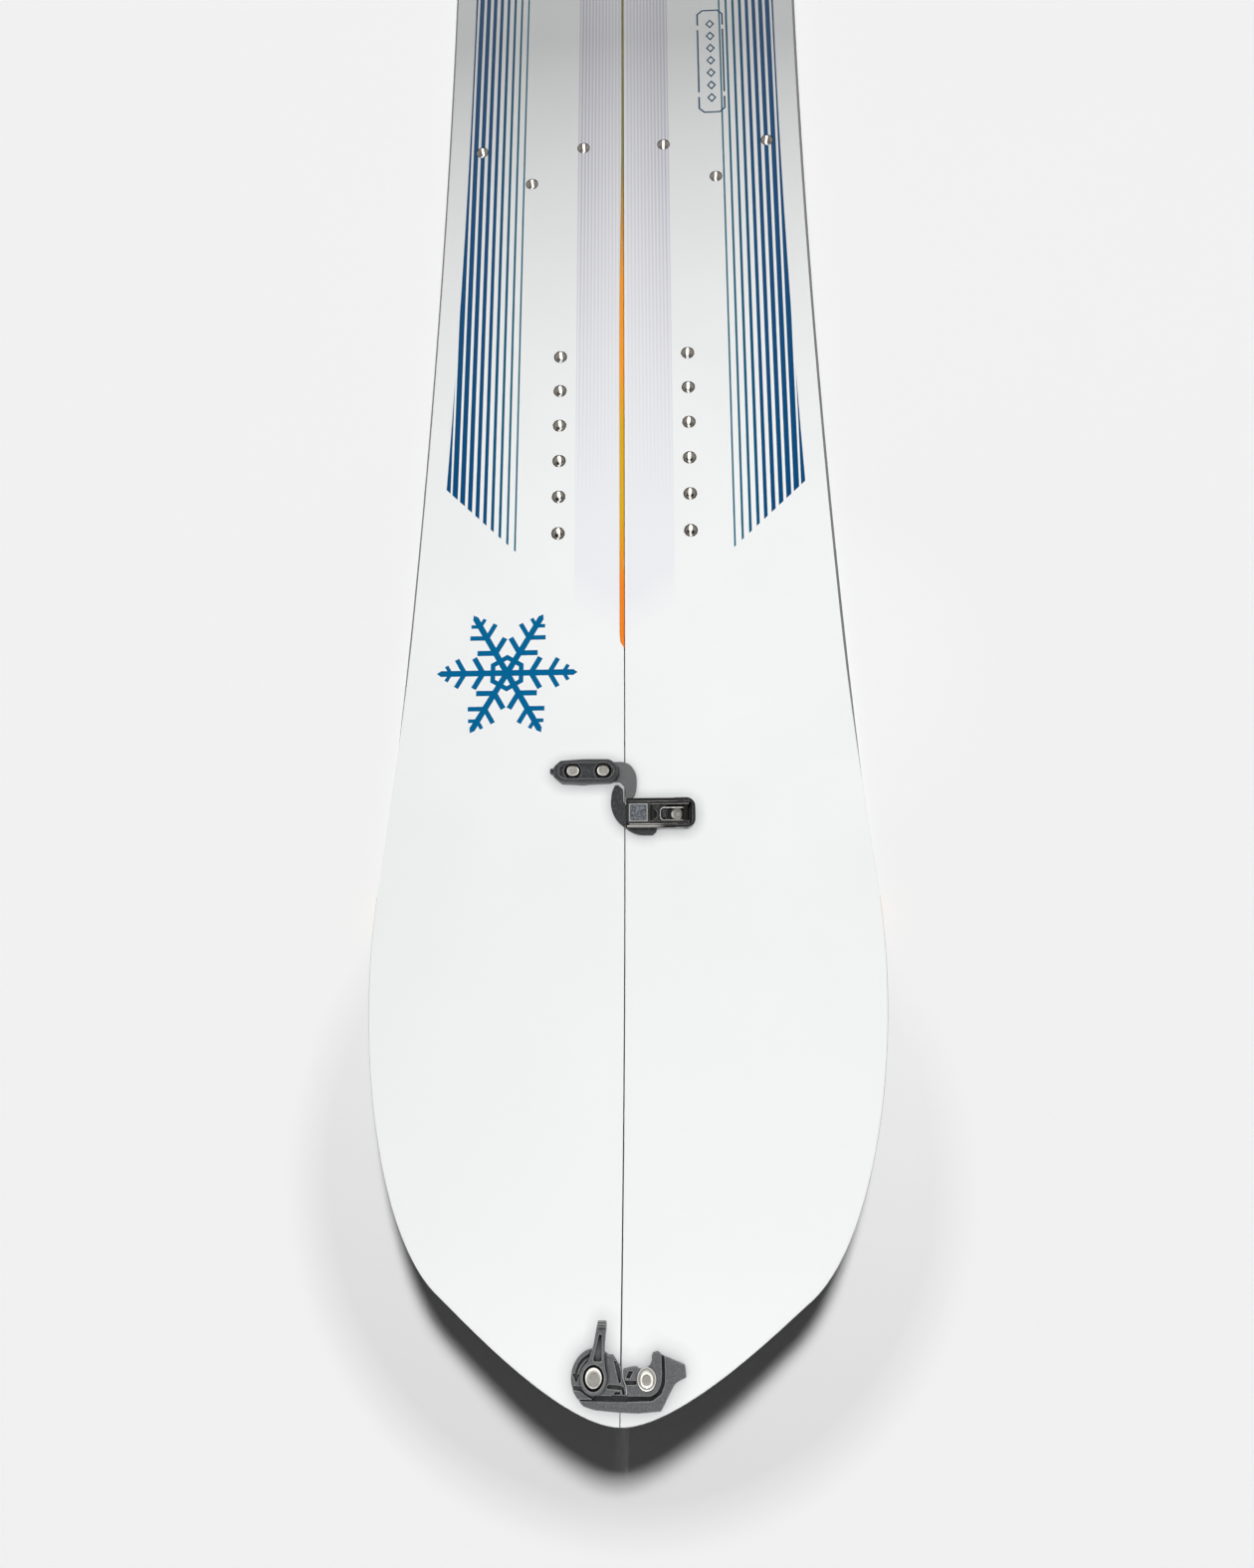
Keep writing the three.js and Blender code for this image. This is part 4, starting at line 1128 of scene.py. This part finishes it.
def draw_hook():
    arm = plate([
        (-3.6, 1.0, 1.4), (-0.8, -1.6, 1.0), (-0.6, -9.2, 1.5), (1.4, -11.5, 0.6), (7.9, -11.5, 0.6),
        (7.9, -21.2, 0.4), (19.1, -21.2, 0.4), (18.8, -27.2, 1.6), (16.4, -29.1, 1.2), (6.4, -29.1, 40),
        (-4.6, -21.0, 40), (-8.4, -12.5, 40), (-7.6, -3.4, 20), (-5.6, 1.0, 1.2),
    ], soft_top(2.65, 5.15, 0.7), 8)
    tongue = plate(oblong(1.4, -21.5, 25, -11.5, 0.4, 0.8, 0.8, 0.4), soft_top(1.75, 3.0, 0.25))
    lug = plate(oblong(22.2, -18.6, 24, -14.1, 0.3), soft_top(2.2, 5.4, 0.3))
    slot = plate(oblong(9.4, LATCH_MIDLINE - 3.1, 19.4, LATCH_MIDLINE + 3.1, 3.0), [(0, 0), (20, 0)], 10)
    return carve(arm, [slot], [tongue, lug])


def lever_rail(y):
    """One side of the lever, 2 mm thick, with its lobe round the pin and the bail's hole below."""
    x, z = PIVOT
    side_view = [
        (2.1, 5.6, 0.5), (x - 7.0, 5.6, 2.0), (x - 2.4, z - BAIL_DROP - 1.5, 1.5),
        (x + 1.6, z - BAIL_DROP - 1.5, 1.4), (x + 2.9, z - 1.2, 2.0), (x + 2.5, z + 2.9, 2.6),
        (x - 3.0, z + 2.8, 6.0), (2.8, 9.8, 1.6),
    ]
    edge = 0.35
    layers = [(-y - 2, edge), (-y - 2 + edge, 0), (-y - edge, 0), (-y, edge)]
    return upright_side(plate(side_view, layers, 8))


def latch_lever():
    x, z = PIVOT
    pad = plate(oblong(1.8, -23.0, 14.6, -9.7, 1.8, 1.4, 1.4, 1.8), soft_top(5.75, 10.6, 0.6))
    rim = plate(oblong(3.6, -21.0, 13.0, -11.7, 1.4), [(10.25, 0), (12, 0)])
    tread = plate(oblong(4.0, -20.6, 12.6, -12.1, 1.2), [(10.0, 0), (10.5, 0.1), (10.55, 0.3)])
    bridge = plate(oblong(14, -22, 17.2, -10.5, 0, 0.4, 0.4, 0), soft_top(7.2, 9.8, 0.4))
    pin_hole = rod([Vector((x, -30, z)), Vector((x, 0, z))], 1.66, 32)
    bail_hole = rod([Vector((x, -30, z - BAIL_DROP)), Vector((x, 0, z - BAIL_DROP))], 0.75, 16)
    carve(pad, [rim])
    return carve(pad, [pin_hole, bail_hole], [tread, lever_rail(-23.2), lever_rail(-11.5), bridge])


def latch_bail():
    """A wire loop: its ends sit in the lever's holes and its far side pulls the hook."""
    x, z = PIVOT[0], PIVOT[1] - BAIL_DROP
    half = [(x, -22.8, 0), (x, -20.2, 1.0), (x - 15, -20.2, 2.2)]
    corners = half + [(x - 15, -12.5, 2.2), (x, -12.5, 1.0), (x, -9.9, 0)]
    path = [Vector(corners[0][:2])]
    for before, here, after in zip(corners, corners[1:], corners[2:]):
        path += rounded([before[:2] + (0,), here, after[:2] + (0,)], 8)[1:-1]
    path.append(Vector(corners[-1][:2]))
    return rod([Vector((p.x, p.y, z)) for p in path], 0.6, 14)


def put_all(name, place, pieces):
    """Each of the pieces is a part's name, its body, what it rides on, its slot and maybe a material."""
    for part, body, *rest in pieces:
        put(f"{name}_{part}", body, place, *rest)


def build_centre_clip(name, station):
    place = Matrix.Translation((0, y_of(station), top_height(station)))
    sunk = dict(seat=4.6, radius=4.15, head=2.2, shank=2.6, tip=-4.4)
    flat = dict(radius=4.15, head=1.5, shank=2.6, tip=-4.4)
    put_all(name, place, [
        ("hook_block", hook_block(), "left_ski", "clip_housing", "hook_housing"),
        ("hook_plate", hook_plate(), "left_ski", "hook_plate"),
        ("latch_base", latch_base(), "right_ski", "latch_metal"),
        ("latch_pin", latch_pin(), "right_ski", "screw_steel", "dark_pin"),
        ("draw_hook", draw_hook(), f"{name}_hook", "clip_housing", "hook_housing"),
        ("latch_lever", latch_lever(), f"{name}_lever", "latch_metal"),
        ("latch_bail", latch_bail(), f"{name}_bail", "screw_steel"),
    ])
    for i, (hook_x, latch_x, seat) in enumerate(zip(HOOK_SCREWS, LATCH_SCREWS, (3.3, 1.75)), 1):
        put_all(name, place, [
            (f"hook_screw_{i}", screw(hook_x, HOOK_SCREW_LINE, **sunk), "left_ski", "screw_steel"),
            (f"latch_screw_{i}", screw(latch_x, LATCH_MIDLINE, seat, **flat), "right_ski", "screw_steel"),
        ])


# ---- tip clip ----

TIP_LIFT = 0.5
TIP_TOP = 4.5
GROOVE = 1.25  # depth of the moulded grooves


def groove(points):
    """A cutter for a moulded groove in a tip clip's top."""
    return plate(points, pocket(TIP_TOP - GROOVE, TIP_TOP, 0.15, 0.1))


def arc_band(radius, half_width, start, end, steps=16):
    """A curved strip about the lever's screw, between two angles in degrees."""
    angles = [math.radians(start + (end - start) * i / steps) for i in range(steps + 1)]
    outer = [(radius + half_width, a) for a in angles]
    inner = [(radius - half_width, a) for a in reversed(angles)]
    return [(-TIP_SCREW_X + r * math.cos(a), r * math.sin(a), 0) for r, a in outer + inner]


def lever_plate():
    disc = slab(circle(-TIP_SCREW_X, 0, 10.4, 96), soft_top(TIP_LIFT, TIP_TOP, 0.5))
    tongue = plate([
        (-12, 8.2, 1), (-3.6, 8.2, 0.8), (0.6, 3.4, 1.5), (0.9, -0.4, 1.2),
        (2.4, -3.4, 1.2), (2.8, -6.2, 0.3), (-9, -6.0, 0.4), (-19, -4.2, 1.0),
    ], soft_top(TIP_LIFT + 0.04, TIP_TOP - 0.04, 0.4))
    bar_room = plate(oblong(-40, -14, 20, -4.2), [(-2, 0), (2.75, 0)])
    below = plate([
        (-40, -14, 0), (20, -14, 0), (20, -6.2, 0), (-11.5, -6.2, 2), (-12.4, -7.7, 0.3), (-40, -7.7, 0),
    ], [(-2.5, 0), (10, 0)])
    hole = drill(-TIP_SCREW_X, 0, SCREW_HOLE, -2, 12)
    channel = groove([
        (-23, -2.9, 0), (-17.6, -3.2, 2), (-15.4, -4.6, 3), (-11, -5.9, 0), (-11, -8.2, 0),
        (-12.8, -7.3, 2), (-15.6, -6.0, 3), (-17.8, -4.8, 2), (-23, -4.4, 0),
    ])
    arrow = groove(arc_band(8.1, 0.62, 98, 174))
    angle = math.radians(186)
    head_x, head_y = -TIP_SCREW_X + 8.1 * math.cos(angle), 8.1 * math.sin(angle)
    arrow_head = groove([
        (head_x - 1.7, head_y + 2.1, 0.1),
        (head_x + 1.7, head_y + 1.9, 0.1),
        (head_x + 0.2, head_y - 1.3, 0.1),
    ])
    slant = groove([
        (-3.1, 6.1, 0.2), (-1.3, 6.1, 0.2), (0.25, 2.2, 0.4), (0.35, -1.5, 0.2), (-0.5, -1.9, 0.3),
    ])
    step = groove([
        (-6.2, -3.2, 0.2), (-5.0, -2.3, 0.3), (-0.2, -2.5, 0.3), (1.5, -3.1, 0.4), (2.1, -4.4, 0.4),
        (2.2, -5.8, 0.2), (1.1, -5.8, 0.2), (0.8, -4.1, 0.3), (-5.6, -3.8, 0.2),
    ])
    ridge = groove([(-2.6, -4.9, 0.3), (0.0, -4.8, 0.3), (0.2, -5.7, 0.2), (-2.8, -5.8, 0.2)])
    return carve(disc, [bar_room, below, hole, channel, arrow, arrow_head, slant, step, ridge], [tongue])


def bar_plate():
    body = plate([
        (1.2, 3.2, 0.6), (1.5, -0.4, 1.2), (3.0, -3.3, 1.2), (3.4, -8.2, 0), (-18.8, -8.1, 0.4),
        (-16.2, -10.2, 2.5), (-11.5, -11.3, 10), (-2, -11.9, 20), (8, -12.1, 20), (18.4, -11.2, 0.6),
        (22.3, -5.2, 8.0), (25.0, -1.2, 6.0), (30.0, 0.8, 0.6), (29.5, 5.2, 0.8), (18.9, 8.6, 1.0),
        (17.2, 10.0, 1.6), (14.4, 9.2, 1.6), (14.2, 4.6, 3.0), (8.8, 3.2, 1.0), (7.4, 4.2, 0.5),
        (5.0, 4.0, 0.5),
    ], soft_top(TIP_LIFT, TIP_TOP, 0.5), 8)
    tail = plate([
        (4, -11.9, 0), (4, -6.4, 0), (-16.4, -4.8, 1), (-20.4, -4.8, 0.8),
        (-20.5, -6.6, 0.8), (-16.8, -9.7, 3), (-10, -11.3, 3),
    ], soft_top(TIP_LIFT, 2.4, 0.3))
    channel = plate([
        (3.2, -8.2, 0), (14.5, -7.7, 4.0), (18.6, -5.2, 3.5), (20.3, -1.5, 5.0),
        (20.4, 3, 5.0), (19.9, 12, 0), (18.5, 12, 0), (18.9, 3, 5.0),
        (18.6, -1.6, 4.0), (16.6, -4.8, 3.0), (13.8, -6.1, 3.0), (3.2, -6.3, 0),
    ], [(2.4, 0), (TIP_TOP - 0.15, 0), (TIP_TOP, -0.15), (TIP_TOP + 2, -0.15)], 8)
    hole = drill(TIP_SCREW_X, 0, SCREW_HOLE, -2, 12)
    recess = groove([(2.5, 0.1, 0.2), (4.3, 0.0, 0.2), (5.9, 2.6, 0.2), (3.9, 2.6, 0.2)])
    step = groove([(1.9, -0.8, 0.2), (7.4, -0.7, 0.2), (7.4, -2.2, 0.2), (2.7, -2.3, 0.3)])
    return carve(body, [channel, hole, recess, step], [tail])


def tip_lever():
    bottom, top = 4.8, 7.3
    ring = slab(circle(-TIP_SCREW_X, 0, 6.1, 72), soft_top(bottom, top, 0.35))
    arm = plate([
        (-16.8, 2.0, 0), (-14.4, 6.4, 6), (-12.4, 12.0, 12), (-11.0, 19.5, 3), (-10.8, 21.0, 0.6),
        (-6.6, 21.0, 0.6), (-6.6, 19.5, 3), (-7.2, 12.0, 12), (-7.2, 6.4, 6), (-6.3, 1.0, 0),
    ], soft_top(bottom + 0.04, top - 0.04, 0.35))
    tab = plate(oblong(-10.8, 18.4, -6.6, 21.0, 0.5, 0.5, 0.7, 0.7), soft_top(bottom + 0.08, 9.2, 0.5))
    hole = lathe(-TIP_SCREW_X, 0, [(4.75, 0), (4.75, top - 0.3), (5.05, top), (5.05, 12)], 64)
    recess = plate([
        (-12.5, 5.9, 0.9), (-8.4, 5.9, 0.9), (-8.5, 11.0, 8),
        (-8.7, 15.8, 0.5), (-9.9, 15.8, 0.5), (-11.3, 11.0, 8),
    ], pocket(bottom + 0.7, top, 0.2, 0.2))
    ridges = [plate(oblong(-12, y, -5, y + 0.5), [(8.85, 0), (11, 0)]) for y in (18.9, 20.0)]
    return carve(ring, [hole, recess, *ridges], [arm, tab])


def build_tip_clip(name, lever_ski, bar_ski, cam):
    button = dict(seat=4.8, head=2.2, shank=2.4, tip=-3.4)
    put_all(name, TIP_PLACES[name], [
        ("lever_plate", lever_plate(), lever_ski, "clip_housing"),
        ("lever_screw", screw(-TIP_SCREW_X, 0, radius=4.3, **button), lever_ski, "screw_steel"),
        ("lever", tip_lever(), cam, "clip_housing"),
        ("bar_plate", bar_plate(), bar_ski, "clip_housing"),
        ("bar_screw", screw(TIP_SCREW_X, 0, radius=3.2, washer=4.2, **button), bar_ski, "screw_steel"),
    ])


# ---- floor, light and camera ----

LAMP_HEIGHT = 1.1
NOSE_LAMP = (0.225, -1, 34.3)  # where each softbox hangs along the board, which way it faces, and its watts
TAIL_LAMP = (0.06, 1, 32.0)
NOSE_LAMP_X = 0.08
AMBIENT = 0.06  # the studio's walls as light
CEILING = 0.5  # and as polished parts show them
WALLS = 1.6
WINDOW = 3.0
FLOOR_LIGHT = 0.879
FLOOR_PAINT = 0.91


def lamp_light(g, place, facing, power, side=0.0):
    """What a softbox throws on the floor, as the light that a white surface gives back."""
    x, y = g.x * MM - side, g.y * MM
    away = ((y - place) * facing).most(0.0)
    squared = x * x + away * away + LAMP_HEIGHT ** 2
    return away * (LAMP_HEIGHT * power / math.pi ** 2) / (squared * squared)


def build_floor():
    """A plain pale floor. Away from the nose it glows by what the softboxes fall short of an even light."""
    bm = bmesh.new()
    bmesh.ops.create_grid(bm, x_segments=2, y_segments=2, size=4.0)
    floor = object_of(bm, 0)
    floor.name = "floor"
    floor.location.z = -0.0002  # just under the steel edges
    g = Graph("floor")
    white = [(tone, tone, tone, 1.0) for tone in (FLOOR_PAINT - 0.006, FLOOR_PAINT + 0.006)]
    g.colour = g.mix(*white, g.noise(400.0, 2.0))
    g.finish(0.9, specular=0.0)
    lit = lamp_light(g, *NOSE_LAMP, NOSE_LAMP_X) + lamp_light(g, *TAIL_LAMP) + AMBIENT
    short = FLOOR_LIGHT - lit * FLOOR_PAINT
    off_nose = g.y + 700.0
    from_nose = g.math("SQRT", g.x * g.x + off_nose * off_nose)
    g.glow(short.most(0.0) * faded((from_nose - 168.0) / 25.0))
    floor.data.materials.append(g.material)


def softbox(name, location, facing, power):
    lamp = bpy.data.lights.new(name, "AREA")
    lamp.shape = "SQUARE"
    lamp.size = 0.2
    lamp.energy = power
    holder = placed(name, lamp)
    holder.location = location
    holder.rotation_euler = Vector((0, facing, 0)).to_track_quat("-Z", "Y").to_euler()
    holder.visible_glossy = False
    return holder


def group_of(name, pieces):
    group = bpy.data.collections.new(name)
    for piece in pieces:
        group.objects.link(piece)
    return group


def build_lights():
    """Two softboxes over the waist, one turned to the nose and one to the tail. The fittings throw no hard
    shadow from the first."""
    skis = [piece for piece in PIECES if piece.name.startswith(("left_", "right_"))]
    place, facing, power = NOSE_LAMP
    nose = softbox("nose_softbox", (NOSE_LAMP_X, place, LAMP_HEIGHT), facing, power)
    nose.light_linking.blocker_collection = group_of("shade", skis)
    place, facing, power = TAIL_LAMP
    softbox("tail_softbox", (0.0, place, LAMP_HEIGHT), facing, power)
    build_world()


def ramp(tree, source, limits):
    """A smooth step over a value: limits are its start, its end and what it gives at each."""
    made = tree.nodes.new("ShaderNodeMapRange")
    made.interpolation_type = "SMOOTHSTEP"
    for socket, limit in zip(("From Min", "From Max", "To Min", "To Max"), limits):
        made.inputs[socket].default_value = limit
    tree.links.new(source, made.inputs["Value"])
    return made.outputs["Result"]


def build_world():
    """A pale studio, seen as bright as its floor. Polished parts show it as a bright band under a darker
    ceiling, with a window beyond the nose."""
    world = bpy.data.worlds.new("studio")
    world.use_nodes = True
    tree = world.node_tree
    background = tree.nodes["Background"]
    background.inputs["Color"].default_value = (1, 1, 1, 1)
    direction = tree.nodes.new("ShaderNodeSeparateXYZ")
    tree.links.new(tree.nodes.new("ShaderNodeTexCoord").outputs["Generated"], direction.inputs[0])
    reflected = tree.nodes.new("ShaderNodeMath")
    tree.links.new(ramp(tree, direction.outputs["Z"], (0.88, 0.62, CEILING, WALLS)), reflected.inputs[0])
    tree.links.new(ramp(tree, direction.outputs["Y"], (-0.45, -0.75, 0.0, WINDOW)), reflected.inputs[1])
    rays = tree.nodes.new("ShaderNodeLightPath").outputs
    strength = tree.nodes.new("ShaderNodeMix")
    strength.inputs[2].default_value = AMBIENT
    tree.links.new(rays["Is Glossy Ray"], strength.inputs[0])
    tree.links.new(reflected.outputs[0], strength.inputs[3])
    seen = tree.nodes.new("ShaderNodeMix")
    seen.inputs[3].default_value = FLOOR_LIGHT
    tree.links.new(rays["Is Camera Ray"], seen.inputs[0])
    tree.links.new(strength.outputs[0], seen.inputs[2])
    tree.links.new(seen.outputs[0], background.inputs["Strength"])
    bpy.context.scene.world = world
    bpy.context.scene.view_settings.view_transform = "Standard"


def build_camera():
    """A short lens close above the nose end, tipped a little towards the nose."""
    lens_in_pixels, image_height, sensor = 730.0, 1575.0, 36.0
    camera = bpy.data.cameras.new("camera")
    camera.lens = lens_in_pixels / image_height * sensor
    camera.sensor_width = sensor
    camera.clip_start = 0.01
    holder = placed("camera", camera)
    tilt = Matrix.Rotation(math.radians(-10.44), 3, "X")
    lean = Matrix.Rotation(math.radians(-2.40), 3, "Y")
    roll = Matrix.Rotation(math.radians(0.12), 3, "Z")
    holder.rotation_euler = (tilt @ lean @ roll).transposed().to_euler()
    holder.location = (0.0191, -0.5715, 0.4358)
    bpy.context.scene.camera = holder


# ---- assembly ----

build_ski(-1, "left")
build_ski(1, "right")
for clip, clip_station in CLIP_STATIONS.items():
    build_centre_clip(clip, clip_station)
build_tip_clip("nose", "left_ski", "right_ski", "nose_cam")
build_tip_clip("tail", "right_ski", "left_ski", "tail_cam")
build_floor()
build_lights()
build_camera()
